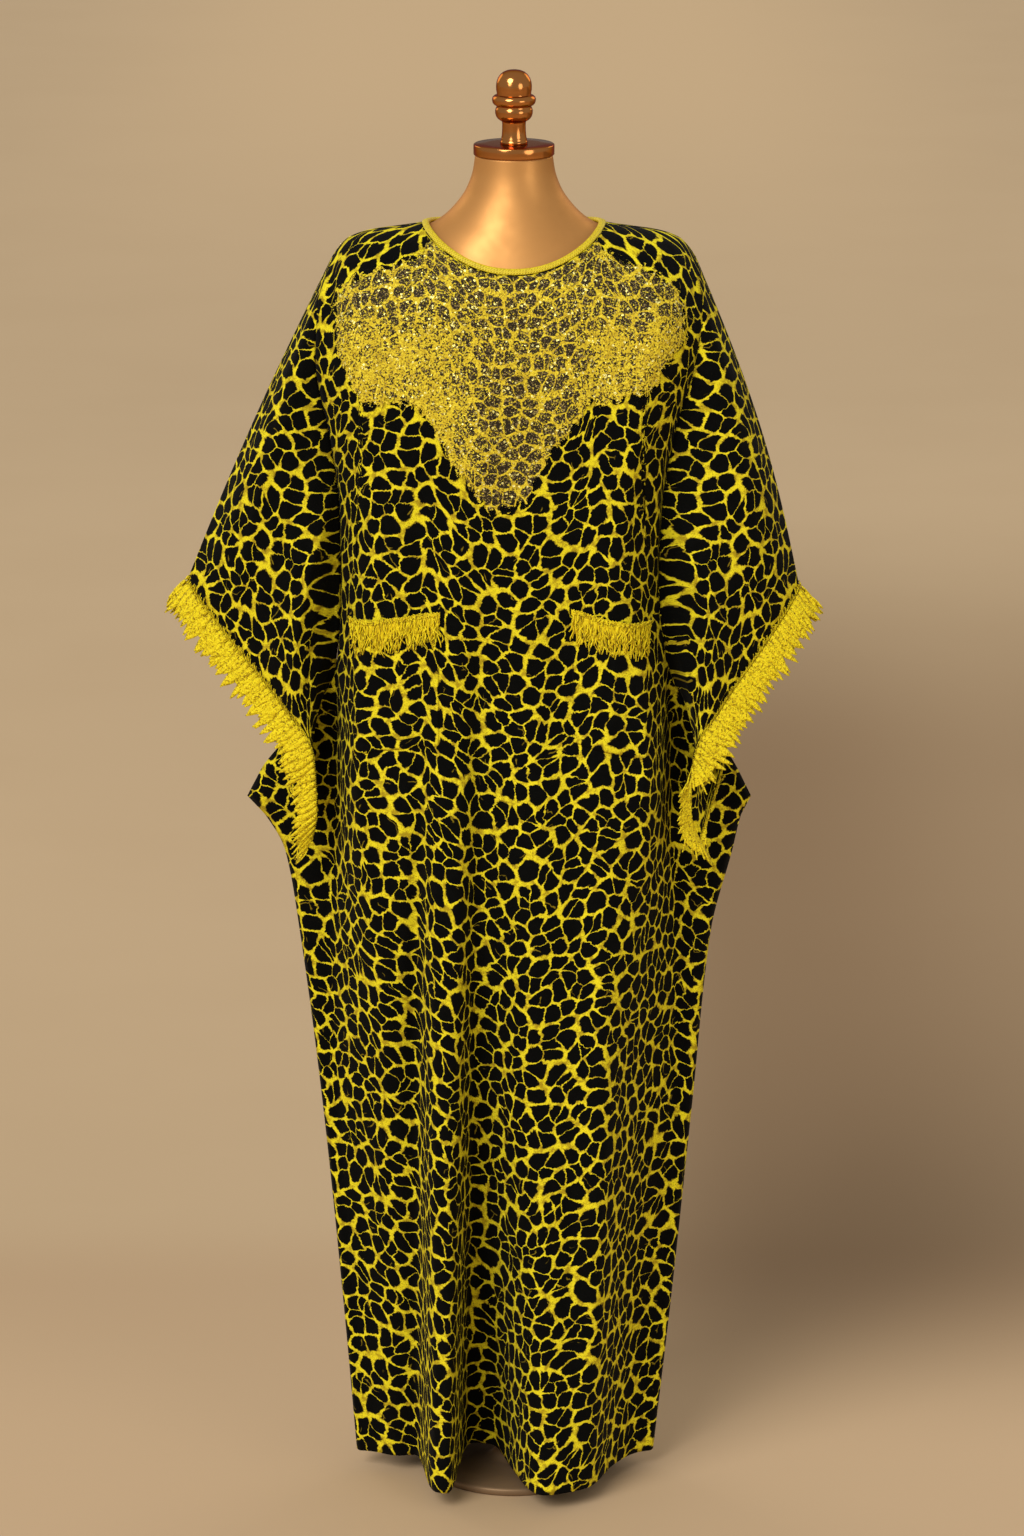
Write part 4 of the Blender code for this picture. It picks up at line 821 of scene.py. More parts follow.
class Tree:
    """Places nodes in a shader tree, sets their inputs and joins their sockets."""

    def __init__(self, tree):
        self.tree = tree

    def add(self, kind, inputs=None, **settings):
        node = self.tree.nodes.new("ShaderNode" + kind)
        for name, value in settings.items():
            setattr(node, name, value)
        self.fill(node.inputs, inputs or {})
        return node

    def put(self, socket, value):
        if isinstance(value, bpy.types.NodeSocket):
            self.tree.links.new(value, socket)
        else:
            socket.default_value = value

    def fill(self, sockets, values):
        for name, value in values.items():
            self.put(sockets[name], value)

    def math(self, operation, *values):
        return self.add("Math", dict(enumerate(values)), operation=operation).outputs[0]

    def plus(self, a, b):
        return self.math("ADD", a, b)

    def minus(self, a, b):
        return self.math("SUBTRACT", a, b)

    def times(self, a, b):
        return self.math("MULTIPLY", a, b)

    def vector(self, operation, *values, scale=None):
        inputs = dict(enumerate(values))
        if scale is not None:
            inputs["Scale"] = scale
        return self.add("VectorMath", inputs, operation=operation).outputs[0]

    def noise(self, vector, scale, detail=2.0, rough=0.5, output=0):
        inputs = {"Vector": vector, "Scale": scale, "Detail": detail, "Roughness": rough}
        return self.add("TexNoise", inputs).outputs[output]

    def cells(self, vector, scale, feature="F1", output="Distance", flat=True):
        inputs = {"Vector": vector, "Scale": scale, "Randomness": 1.0}
        kind = "2D" if flat else "3D"
        return self.add("TexVoronoi", inputs, feature=feature, voronoi_dimensions=kind).outputs[output]

    def between(self, value, low, high, to_low=0.0, to_high=1.0):
        inputs = {
            "Value": value, "From Min": low, "From Max": high, "To Min": to_low, "To Max": to_high,
        }
        return self.add("MapRange", inputs, interpolation_type="SMOOTHSTEP").outputs[0]

    def mix(self, share, a, b):
        return self.add("Mix", {0: share, 6: a, 7: b}, data_type="RGBA").outputs[2]

    def bump(self, height, distance, strength, below=None):
        inputs = {"Height": height, "Distance": distance, "Strength": strength}
        if below is not None:
            inputs["Normal"] = below
        return self.add("Bump", inputs).outputs[0]

    def jitter(self, vector, scale, reach):
        """The vector moved about by noise, by up to about half of reach."""
        noise = self.noise(vector, scale, 1.0, 0.5, "Color")
        centred = self.vector("SUBTRACT", noise, (0.5, 0.5, 0.5))
        return self.vector("ADD", vector, self.vector("SCALE", centred, scale=reach))


def new_group(name, inputs, outputs):
    """A shader node group with named inputs and outputs, and its tree."""
    group = bpy.data.node_groups.new(name, "ShaderNodeTree")
    for label, kind, value in inputs:
        socket = group.interface.new_socket(label, in_out="INPUT", socket_type="NodeSocket" + kind)
        if value is not None:
            socket.default_value = value
    for label, kind in outputs:
        group.interface.new_socket(label, in_out="OUTPUT", socket_type="NodeSocket" + kind)
    tree = Tree(group)
    source = group.nodes.new("NodeGroupInput").outputs
    sink = group.nodes.new("NodeGroupOutput").inputs
    return group, tree, source, sink


def crackle_group():
    """The print: rounded cells of uneven size with ragged veins between them, on the flat cloth."""
    found = bpy.data.node_groups.get("crackle print")
    if found:
        return found
    group, tree, source, sink = new_group(
        "crackle print",
        (("Flat", "Vector", None), ("Cell", "Float", 0.016), ("Vein", "Float", 0.0034)),
        (("Vein mask", "Float"), ("Vein middle", "Float"), ("Tone", "Float"), ("Fine", "Float")),
    )
    flat, cell, vein = source["Flat"], source["Cell"], source["Vein"]
    loose = tree.jitter(flat, 22.0, tree.times(cell, 1.25))
    loose = tree.jitter(loose, 60.0, tree.times(cell, 0.42))
    loose = tree.jitter(loose, 150.0, tree.times(cell, 0.20))
    ragged = tree.jitter(loose, 520.0, tree.times(cell, 0.13))
    scale = tree.math("DIVIDE", 1.0, cell)
    edge = tree.cells(ragged, scale, "DISTANCE_TO_EDGE")
    centre = tree.cells(ragged, scale, "F1")
    corner = tree.between(centre, 0.38, 0.78, 0.0, 0.18)
    swell = tree.noise(flat, 70.0, 2.0, 0.6)
    wide = tree.between(swell, 0.30, 0.70, 0.07, 0.30)
    half = tree.times(tree.math("DIVIDE", vein, cell), wide)
    half = tree.plus(half, corner)
    low, high = tree.times(half, 0.92), tree.times(half, 1.04)
    spur_scale = tree.math("DIVIDE", 0.62, cell)
    spur = tree.cells(tree.jitter(loose, 200.0, 0.004), spur_scale, "DISTANCE_TO_EDGE")
    kept = tree.between(tree.noise(flat, 38.0, 1.0, 0.5), 0.62, 0.67)
    spur = tree.times(tree.between(spur, 0.008, 0.024, 1.0, 0.0), kept)
    mask = tree.math("MAXIMUM", tree.between(edge, low, high, 1.0, 0.0), spur)
    tree.put(sink["Vein mask"], mask)
    tree.put(sink["Vein middle"], tree.between(edge, 0.0, half, 1.0, 0.0))
    tree.put(sink["Tone"], tree.noise(flat, 95.0, 3.0, 0.65))
    tree.put(sink["Fine"], tree.noise(flat, 700.0, 2.0, 0.7))
    return group


def weave_group():
    """Crossing threads of a fine plain weave, as a height, from UVs in metres."""
    found = bpy.data.node_groups.get("plain weave")
    if found:
        return found
    group, tree, source, sink = new_group(
        "plain weave",
        (("Flat", "Vector", None), ("Thread", "Float", 0.0007)),
        (("Height", "Float"),),
    )
    parts = tree.add("SeparateXYZ", {0: source["Flat"]}).outputs
    turn = tree.math("DIVIDE", math.pi, source["Thread"])
    warp = tree.math("ABSOLUTE", tree.math("SINE", tree.times(parts[0], turn)))
    weft = tree.math("ABSOLUTE", tree.math("SINE", tree.times(parts[1], turn)))
    tree.put(sink["Height"], tree.plus(warp, weft))
    return group


def place_group(tree, group, **inputs):
    node = tree.add("Group", node_tree=group)
    for name, value in inputs.items():
        tree.put(node.inputs[name], value)
    return node.outputs


def new_material(name):
    """A material with only a Principled shader, its tree and that shader's inputs."""
    made = bpy.data.materials.new(name)
    made.use_nodes = True
    shader = made.node_tree.nodes["Principled BSDF"]
    return made, Tree(made.node_tree), shader.inputs


def own(name, maker):
    """The material of that name, made at its first use."""
    return bpy.data.materials.get(name) or maker(name)


def tint(colour, *shares):
    """A colour with its parts scaled, ready for a colour socket."""
    return (*(min(part * share, 1) for part, share in zip(colour, shares)), 1)


def make_print(name):
    cloth = bpy.context.scene.robe_cloth
    made, tree, shader = new_material(name)
    coordinates = tree.add("TexCoord").outputs
    flat = coordinates["UV"]
    sizes = {"Cell": cloth.cell_size, "Vein": cloth.vein_width}
    crackle = place_group(tree, crackle_group(), Flat=flat, **sizes)
    vein, cell = tuple(cloth.vein_colour), tuple(cloth.cell_colour)
    worn, edge = tint(vein, 0.50, 0.42, 0.6), tint(vein, 0.26, 0.22, 0.5)
    bright = tree.mix(tree.between(crackle["Tone"], 0.34, 0.56), worn, tint(vein, 1, 1, 1))
    bright = tree.mix(tree.between(crackle["Fine"], 0.53, 0.66, 0.0, 0.8), bright, edge)
    bright = tree.mix(tree.between(crackle["Vein middle"], 0.02, 0.42), edge, bright)
    faded = tree.between(crackle["Fine"], 0.5, 0.8)
    ground = tree.mix(faded, tint(cell, 1, 1, 1), tint(cell, 3, 3, 3))
    tree.put(shader["Base Color"], tree.mix(crackle["Vein mask"], ground, bright))
    tree.put(shader["Roughness"], tree.between(crackle["Tone"], 0.3, 0.7, 0.80, 0.95))
    weave = place_group(tree, weave_group(), Flat=flat, Thread=cloth.thread)
    crumple = tree.noise(coordinates["Object"], 55.0, 4.0, 0.55)
    rumpled = tree.bump(crumple, 0.0016, 0.6)
    tree.fill(shader, {
        "Normal": tree.bump(weave["Height"], 0.00012, 0.5, rumpled), "Sheen Weight": 0.012,
        "Sheen Roughness": 0.5, "Specular IOR Level": 0.07,
    })
    return made


def make_glitter(name):
    """Glitter lace: bright veins and grey-brown cells full of flecks near the neck and down the
    middle, and dense gold thread towards the sides. Its flecks are metallic flakes with painted glints
    in their colour."""
    cloth, trim = bpy.context.scene.robe_cloth, bpy.context.scene.robe_trim
    made, tree, shader = new_material(name)
    coordinates = tree.add("TexCoord").outputs
    place = coordinates["Object"]
    sizes = {"Cell": cloth.cell_size * 0.80, "Vein": cloth.vein_width * 1.25}
    crackle = place_group(tree, crackle_group(), Flat=coordinates["UV"], **sizes)
    gold = tuple(trim.glitter_colour)
    grain = tree.noise(place, 430.0, 2.0, 0.75)
    coarse = tree.noise(place, 150.0, 3.0, 0.65)
    salt = tree.noise(place, 560.0, 1.0, 0.5)
    parts = tree.add("SeparateXYZ", {0: place}).outputs
    from_middle = tree.math("ABSOLUTE", tree.minus(parts[0], 0.012))
    below_neck = tree.minus(1.452, parts[2])
    beside, below = tree.between(from_middle, 0.030, 0.105), tree.between(below_neck, 0.03, 0.09)
    away = tree.math("MINIMUM", beside, below)
    patches = tree.between(tree.noise(place, 26.0, 2.0, 0.5), 0.36, 0.66, -0.10, 0.16)
    cell = tree.minus(1.0, crackle["Vein mask"])
    dense = tree.plus(tree.times(away, 0.54), patches)
    dense = tree.plus(dense, tree.between(coarse, 0.36, 0.64, -0.12, 0.30))
    amount = tree.plus(tree.times(crackle["Vein mask"], 0.82), tree.times(cell, dense))
    reach = tree.plus(0.36, tree.times(amount, 0.27))
    threads = tree.between(tree.minus(reach, grain), -0.012, 0.016)
    ground = tree.mix(tree.between(salt, 0.56, 0.66), (0.024, 0.016, 0.006, 1), (0.30, 0.22, 0.08, 1))
    light, deep = tint(gold, 1.16, 1.20, 2.0), tint(gold, 0.86, 0.78, 0.8)
    lit = tree.mix(tree.between(grain, 0.34, 0.50), light, deep)
    lit = tree.mix(tree.between(coarse, 0.50, 0.68, 0.0, 0.55), lit, tint(gold, 0.46, 0.36, 0.5))
    colour = tree.mix(threads, ground, lit)
    # Pale flecks: metallic flakes whose pale bright colour is a painted glint.
    fleck_and_painted_glint = tree.cells(place, 480.0, output="Color", flat=False)
    fleck_and_painted_glint = tree.add("SeparateColor", {0: fleck_and_painted_glint}).outputs
    colour = tree.mix(tree.between(fleck_and_painted_glint[0], 0.96, 0.975), colour, (0.95, 0.88, 0.30, 1))
    tree.put(shader["Base Color"], colour)
    tree.put(shader["Metallic"], tree.between(fleck_and_painted_glint[0], 0.90, 0.97, 0.0, 0.55))
    tree.put(shader["Roughness"], tree.between(fleck_and_painted_glint[0], 0.8, 0.97, 0.72, 0.30))
    height = tree.plus(grain, tree.times(coarse, 1.2))
    tree.fill(shader, {"Normal": tree.bump(height, 0.0014, 0.8), "Specular IOR Level": 0.2})
    edge = tree.add("Attribute", attribute_name="edge").outputs["Fac"]
    holes = tree.plus(tree.times(grain, 0.45), tree.times(coarse, 0.55))
    holes = tree.plus(holes, tree.times(cell, 0.14))
    solid = tree.plus(tree.times(edge, 34.0), 0.33)
    tree.put(shader["Alpha"], tree.between(tree.minus(solid, holes), -0.02, 0.02))
    return made


def lace_maker(drawn):
    """A maker of the yellow yarn; its grain is drawn out downwards where drawn is under 1. Drawn out
    in the fringe, its dark grain paints streaks of shade between the strands.
    """
    def make(name):
        trim = bpy.context.scene.robe_trim
        made, tree, shader = new_material(name)
        place = tree.vector("MULTIPLY", tree.add("TexCoord").outputs["Object"], (1, 1, drawn))
        knots = tree.cells(tree.jitter(place, 300.0, 0.0016), 400.0, flat=False)
        grain = tree.noise(place, 430.0, 3.0, 0.75)
        tone = tree.noise(place, 90.0, 2.0, 0.6)
        lace = tuple(trim.lace_colour)
        deep, dark = tint(lace, 0.80, 0.68, 0.5), tint(lace, 0.24, 0.16, 0.4)
        plain, dull = tint(lace, 1, 1, 1), tint(lace, 0.92, 0.88, 0.9)
        colour = tree.mix(tree.between(tone, 0.35, 0.65, 0.0, 0.6), plain, dull)
        colour = tree.mix(tree.between(knots, 0.46, 0.72, 0.0, 0.5), colour, deep)
        # Dark grain: the yarn's brown specks on the lace; drawn out in the fringe it also paints
        # streaks of shade between the strands.
        colour = tree.mix(tree.between(grain, 0.535, 0.61, 0.0, 0.9), colour, dark)
        pale = tint(lace, 1.1, 1.16, 3.0)
        colour = tree.mix(tree.between(grain, 0.44, 0.34, 0.0, 0.6), colour, pale)
        tree.put(shader["Base Color"], colour)
        tree.put(shader["Roughness"], tree.between(grain, 0.3, 0.7, 0.6, 0.85))
        bumped = tree.bump(tree.minus(grain, knots), 0.0014, 0.9)
        tree.fill(shader, {"Normal": bumped, "Sheen Weight": 0.04, "Specular IOR Level": 0.2})
        return made

    return make


def make_binding(name):
    """Folded band with a row of stitches along both edges; its UVs run round and across it."""
    trim = bpy.context.scene.robe_trim
    made, tree, shader = new_material(name)
    coordinates = tree.add("TexCoord").outputs
    flat = tree.add("SeparateXYZ", {0: coordinates["UV"]}).outputs
    band = tuple(trim.binding_colour)
    deep = tint(band, 0.50, 0.42, 0.30)
    grain = tree.noise(coordinates["Object"], 500.0, 3.0, 0.6)
    colour = tree.mix(tree.between(grain, 0.44, 0.64, 0.0, 0.55), tint(band, 1, 1, 1), deep)
    gap = tree.math("SINE", tree.times(flat[0], 2 * math.pi / 0.0032))
    rows = []
    for line in (-0.0020, -0.0050):
        near = tree.math("ABSOLUTE", tree.minus(flat[1], line))
        rows.append(tree.between(near, 0.0003, 0.0007, 1.0, 0.0))
    seam = tree.math("MAXIMUM", *rows)
    stitch = tree.times(seam, tree.between(gap, -0.3, 0.3))
    colour = tree.mix(tree.times(seam, 0.65), colour, deep)
    colour = tree.mix(stitch, colour, (0.90, 0.78, 0.06, 1))
    tree.put(shader["Base Color"], colour)
    height = tree.plus(tree.minus(stitch, seam), tree.times(grain, 0.4))
    bumped = tree.bump(height, 0.0006, 0.7)
    tree.fill(shader, {"Normal": bumped, "Roughness": 0.55, "Specular IOR Level": 0.3})
    return made


def metal_maker(colour_name, rough, metallic, grain_scale, coat, edge):
    """A maker of a metal finish with fine grain, soft smudges in its gloss and its own edge tint."""
    def make(name):
        made, tree, shader = new_material(name)
        place = tree.add("TexCoord").outputs["Object"]
        base = tuple(getattr(bpy.context.scene.robe_form, colour_name))
        deep = tint(base, 0.72, 0.72, 0.72)
        smudge = tree.noise(place, 14.0, 3.0, 0.6)
        grain = tree.noise(place, grain_scale, 2.0, 0.6)
        colour = tree.mix(tree.between(smudge, 0.35, 0.7, 0.0, 0.35), tint(base, 1, 1, 1), deep)
        tree.put(shader["Base Color"], colour)
        tree.put(shader["Roughness"], tree.between(smudge, 0.3, 0.75, rough * 0.85, rough * 1.2))
        tree.fill(shader, {
            "Normal": tree.bump(grain, 0.0002, 0.12), "Metallic": metallic,
            "Specular Tint": (*edge, 1), "Coat Weight": coat, "Coat Roughness": 0.15,
        })
        return made

    return make


def make_floor(name):
    """Pale floor with a soft painted shadow behind the robe on the right and a painted pool of light
    far behind it.
    """
    stage = bpy.context.scene.robe_stage
    made, tree, shader = new_material(name)
    place = tree.add("TexCoord").outputs["Object"]
    parts = tree.add("SeparateXYZ", {0: place}).outputs
    floor, wall = tuple(stage.floor_colour), tuple(stage.wall_colour)
    back = tree.between(parts[1], 0.62, 0.95)
    mottle = tree.noise(place, 2.0, 3.0, 0.5)
    tone = tree.mix(back, tint(floor, 1, 1, 1), tint(wall, 1, 1, 1))
    tone = tree.mix(tree.between(mottle, 0.35, 0.7, 0.0, 0.2), tone, tint(wall, 0.90, 0.88, 0.86))
    # Painted shadow: the floor turns dark brown behind the robe on the right, soft at its edges.
    beside = tree.between(parts[0], -0.22, 0.36, 0.20, 0.85)
    beside = tree.minus(beside, tree.between(parts[0], 0.42, 0.90, 0.0, 0.18))
    far = tree.times(tree.between(parts[1], 5.8, 3.2), tree.between(parts[1], 0.0, 0.80))
    tone = tree.mix(tree.times(beside, far), tone, tint(wall, 0.32, 0.26, 0.21))
    # Painted pool of light: a lighter patch of floor far behind the robe, near the middle.
    high = tree.times(tree.between(parts[1], 6.0, 12.0), tree.between(parts[1], 60.0, 16.0))
    high = tree.times(high, tree.between(tree.math("ABSOLUTE", parts[0]), 1.7, 0.5))
    tone = tree.mix(high, tone, tint(wall, 1.16, 1.14, 1.10))
    tree.put(shader["Base Color"], tone)
    tree.fill(shader, {"Roughness": 0.75, "Specular IOR Level": 0.2})
    return made


# Settings


def number(name, text, value, **more):
    return FloatProperty(name=name, description=text, default=value, min=0, **more)


def length(name, text, value):
    return number(name, text, value, unit="LENGTH", precision=4)


def count(name, text, value, low):
    return IntProperty(name=name, description=text, default=value, min=low, max=200)


def colour(name, text, value):
    return FloatVectorProperty(
        name=name, description=text, default=value, size=3, min=0, max=1, subtype="COLOR"
    )


class ClothSettings(bpy.types.PropertyGroup):
    wall: length("Cloth", "Thickness of the printed cloth", 0.0014)
    thread: length("Thread", "Width of one thread of the weave", 0.0007)
    cell_size: length("Print cell", "Usual width of a dark cell of the print", 0.0190)
    vein_width: length("Print vein", "Usual width of a vein between the cells", 0.0034)
    crease_height: number("Creases", "Height of the small creases, as a share", 1.0, max=2)
    vein_colour: colour("Vein", "Colour of the veins", (0.900, 0.780, 0.020))
    cell_colour: colour("Cell", "Colour of the cells", (0.0014, 0.0016, 0.0014))


class TrimSettings(bpy.types.PropertyGroup):
    lace_colour: colour("Lace", "Colour of the lace and the fringes", (0.960, 0.790, 0.010))
    binding_colour: colour("Binding", "Colour of the neck binding", (0.760, 0.600, 0.018))
    glitter_colour: colour("Glitter", "Colour of the yoke's thread", (0.800, 0.650, 0.024))
    leaves: count("Leaves", "Points of lace round a cuff", 96, 20)
    strands: count("Strands", "Strands in one layer of a fringe", 46, 10)
    fringe_length: length("Fringe", "Length of the fringe below its header", 0.036)


class FormSettings(bpy.types.PropertyGroup):
    skin_colour: colour("Form", "Colour of the dress form", (0.640, 0.320, 0.105))
    copper_colour: colour("Cap", "Colour of the cap and the finial", (0.560, 0.225, 0.060))
    stand_colour: colour("Stand", "Colour of the pole and the foot", (0.230, 0.150, 0.085))


class StageSettings(bpy.types.PropertyGroup):
    floor_colour: colour("Floor", "Colour of the floor round the form", (0.560, 0.400, 0.245))
    wall_colour: colour("Background", "Colour of the floor further back", (0.600, 0.450, 0.280))
    key_power: number("Key lamp", "Power of the lamp in front", 20, unit="POWER")
    fill_power: number("Fill lamps", "Power of each of the other lamps", 26, unit="POWER")
    sun_strength: number("Daylight", "Strength of the broad soft light", 1.9)
    room_light: number("Room light", "Strength of the light from all sides", 0.42)


# Pieces


class ROBE_OT_panels(bpy.types.Operator):
    """Front and back of the robe, with the folds of the skirt"""

    bl_idname = "robe.panels"
    bl_label = "Front and back"

    def execute(self, context):
        material = own("printed cloth", make_print)
        for side, outward in (("front", (0, -1, 0)), ("back", (0, 1, 0))):
            points, places = panel(side)
            bm = bmesh.new()
            fill_grid(bm, points, outward, places)
            wall = context.scene.robe_cloth.wall
            piece = finish_piece(side + "_cloth", bm, material, side + "_panel", wall)
        return {"FINISHED"}


class ROBE_OT_sleeves(bpy.types.Operator):
    """Wide sleeves and the pointed lace round their cuffs"""

    bl_idname = "robe.sleeves"
    bl_label = "Sleeves and cuff lace"

    def execute(self, context):
        front, back = panel("front")[0], panel("back")[0]
        for side in ("left", "right"):
            rings = sleeve_points(side, front, back)
            bm = bmesh.new()
            fill_grid(bm, rings, rings.mean(axis=(0, 1)), sleeve_lengths(rings), closed=True)
            sleeve = finish_piece(
                side + "_sleeve_cloth", bm, own("printed cloth", make_print),
                "sleeve_" + side, context.scene.robe_cloth.wall,
            )
            lace = add_cuff_lace(side, rings, context.scene.robe_trim)
        return {"FINISHED"}


def even_ring(points, count):
    """Points spaced evenly along a closed line."""
    loop = np.vstack([points, points[:1]])
    along = np.concatenate([[0], np.cumsum(np.linalg.norm(np.diff(loop, axis=0), axis=1))])
    at = np.linspace(0, along[-1], count + 1)[:-1]
    return np.stack([np.interp(at, along, loop[:, k]) for k in range(3)], axis=1)


def add_leaf(bm, root, way, beside, normal, half, shape, lift):
    """A small pointed leaf of lace: crowned across, and curled down a little at its tip."""
    grid = []
    for step, width in enumerate(shape):
        t = step / (len(shape) - 1)
        centre = root + way * t + normal * (lift - LEAF_CURL * t * t)
        across = beside * half * width
        grid.append([centre + across * e - normal * LEAF_CROWN * e * e for e in (-1, 0, 1)])
    fill_grid(bm, np.array(grid), normal)


def add_cuff_lace(side, rings, trim):
    """Lace round a cuff: a band that goes on from the cloth's edge, three rows of leaves and a row
    of knots that holds it to the cloth."""
    chance = random.Random(LACE_SEEDS[side])
    count = 3 * trim.leaves
    ring = even_ring(rings[-1], count)
    inward = unit(even_ring(rings[-3], count) - ring)
    low, high = ring[:, 2].min(), ring[:, 2].max()
    sign = -1 if side == "left" else 1
    down = (high - ring[:, 2]) / (high - low)
    place = np.arange(count) / count
    turns = (("out", sign), ("forward", -1), ("down", -1))
    way = np.stack([s * smooth_read(LACE_WAYS, LACE_WAY_COLUMNS, c, down) for c, s in turns], axis=1)
    step = np.clip(np.minimum((down - 0.60) / 0.18, (0.5 - place) / 0.01), 0, 1)
    step = step * np.clip(place / 0.05, 0, 1)
    turn = LACE_LOW_TURN[side] * (step * step * (3 - 2 * step))
    way = unit(way - turn[:, None] * (sign, 0.25, 0))
    along = unit(np.roll(ring, -1, axis=0) - np.roll(ring, 1, axis=0))
    normal = unit(np.cross(along, way))
    normal *= np.sign((normal * (ring - ring.mean(axis=0))).sum())
    beside = cuff_edge(side, "back", np.array([LACE_TUCK_SHARE]))[0]
    near = np.exp(-((np.linalg.norm(ring - beside, axis=1, keepdims=True) / LACE_TUCK_REACH) ** 2))
    near *= (place > 0.5)[:, None]
    size = (1 - LACE_TUCK * near) * smooth_read(LACE_SIZES, LACE_SIZE_COLUMNS, "size", down)[:, None]
    behind = smooth_read(LACE_BEHIND, LACE_SIZE_COLUMNS, "size", place)
    size = size * (behind * (1 - 0.22 * turn))[:, None]
    bm = bmesh.new()
    rows = []
    for k, share in enumerate(np.linspace(0, 1, LACE_ROWS)):
        wave = 0.0006 * np.sin(np.arange(count) * 2.1 + k * 1.7)[:, None]
        rows.append(ring + way * (LACE_BAND * share * size + 0.0003) + normal * (wave - 0.0003))
    fill_grid(bm, np.array(rows), ring.mean(axis=0) + way.mean(axis=0) * 0.01, closed=True)
    pitch = np.linalg.norm(np.roll(ring, -3, axis=0) - ring, axis=1)
    for layer, (start, stem, past, lift) in enumerate(LACE_LAYERS):
        for k in range(layer, count, 3):
            reach = LACE_BAND * (stem - start) + LACE_LEAF * past + 0.004
            reach *= float(size[k, 0]) * chance.uniform(0.82, 1.12)
            heading = unit(way[k] + along[k] * chance.uniform(-0.20, 0.20)) * reach
            root = ring[k] + way[k] * LACE_BAND * start * float(size[k, 0])
            half = float(pitch[k]) * chance.uniform(0.50, 0.62)
            add_leaf(bm, root, heading, along[k], normal[k], half, LEAF_SHAPE, lift)
    for k in range(count):
        reach = inward[k] * chance.uniform(0.0015, 0.0095)
        root = ring[k] + way[k] * 0.002
        half = float(pitch[k]) * chance.uniform(0.09, 0.17)
        add_leaf(bm, root, reach, along[k], normal[k], half, KNOT_SHAPE, 0.0024)
    lace = own("yellow lace", lace_maker(1.0))
    name, node = "cuff_lace_cloth_" + side, "cuff_lace_" + side
    return finish_piece(name, bm, lace, node, LACE_WALL)


class ROBE_OT_yoke(bpy.types.Operator):
    """Glitter lace on the chest, ragged along its edge"""

    bl_idname = "robe.yoke"
    bl_label = "Glitter yoke"

    def execute(self, context):
        across, down = YOKE_STEPS
        x = np.linspace(YOKE_OUTLINE[0][0], YOKE_OUTLINE[-1][0], across + 1)
        low = smooth_read(YOKE_OUTLINE, YOKE_COLUMNS, "low", x)
        for waves, reach, start in YOKE_RAGS:
            low = low + reach * np.sin(waves * x + start)
        slope = np.gradient(neckline_height(x, "front"), x)
        below_neck = neckline_height(x, "front") - 0.0064 * np.sqrt(1 + np.minimum(slope**2, 4))
        high = np.minimum(smooth_read(YOKE_OUTLINE, YOKE_COLUMNS, "high", x), below_neck)
        high = np.where(np.abs(x) > NECK_HALF_WIDTH, high + 0.0016 * np.sin(700 * x), high)
        share = np.linspace(0, 1, down + 1)[:, None]
        places = high - (high - low) * share
        points, normals = face_point(np.broadcast_to(x, places.shape), places)
        bm = bmesh.new()
        edge = bm.verts.layers.float.new("edge")
        flat = flat_places(*panel("front"), np.broadcast_to(x, places.shape), places)
        made = fill_grid(bm, points + normals * (OVERLAY_LIFT + YOKE_WALL), (0, -1, 0), flat)
        from_side = np.minimum(x - x[0], x[-1] - x) + 0 * places
        top = np.where(np.abs(x) < NECK_HALF_WIDTH, 1.0, high - places)
        inside = np.minimum(np.minimum(places - low, top), from_side)
        for vert, value in zip(made, inside.reshape(-1)):
            vert[edge] = float(value)
        glitter = own("glitter lace", make_glitter)
        yoke = finish_piece("yoke_glitter_lace", bm, glitter, "yoke_lace", YOKE_WALL)
        return {"FINISHED"}


class ROBE_OT_pockets(bpy.types.Operator):
    """Patch pockets and the fringe that hangs over the mouth of each"""

    bl_idname = "robe.pockets"
    bl_label = "Pockets and fringes"

    def execute(self, context):
        for side, (x_from, x_to, *_) in POCKETS.items():
            across, down = POCKET_STEPS
            x = np.linspace(x_from, x_to, across + 1)
            z = mouth_height(side, x) - POCKET_DEPTH * np.linspace(0, 1, down + 1)[:, None]
            points, normals = face_point(np.broadcast_to(x, z.shape), z)
            edge = np.minimum(np.minimum(x - x_from, x_to - x), z - z[-1])
            rise = 0.0004 + 0.0016 * quarter_round(np.clip(edge / 0.002, 0, 1)) + 0 * z
            bm = bmesh.new()
            flat = flat_places(*panel("front"), np.broadcast_to(x, z.shape), z)
            fill_grid(bm, points + normals * rise[..., None], (0, -1, 0), flat)
            pocket = finish_piece(
                side + "_pocket_cloth", bm, own("printed cloth", make_print),
                "pocket_" + side, POCKET_WALL,
            )
            fringe = add_fringe(side, context.scene.robe_trim)
        return {"FINISHED"}


def mouth_height(side, x):
    x_from, x_to, mouth_from, mouth_to = POCKETS[side]
    return mouth_from + (mouth_to - mouth_from) * (x - x_from) / (x_to - x_from)


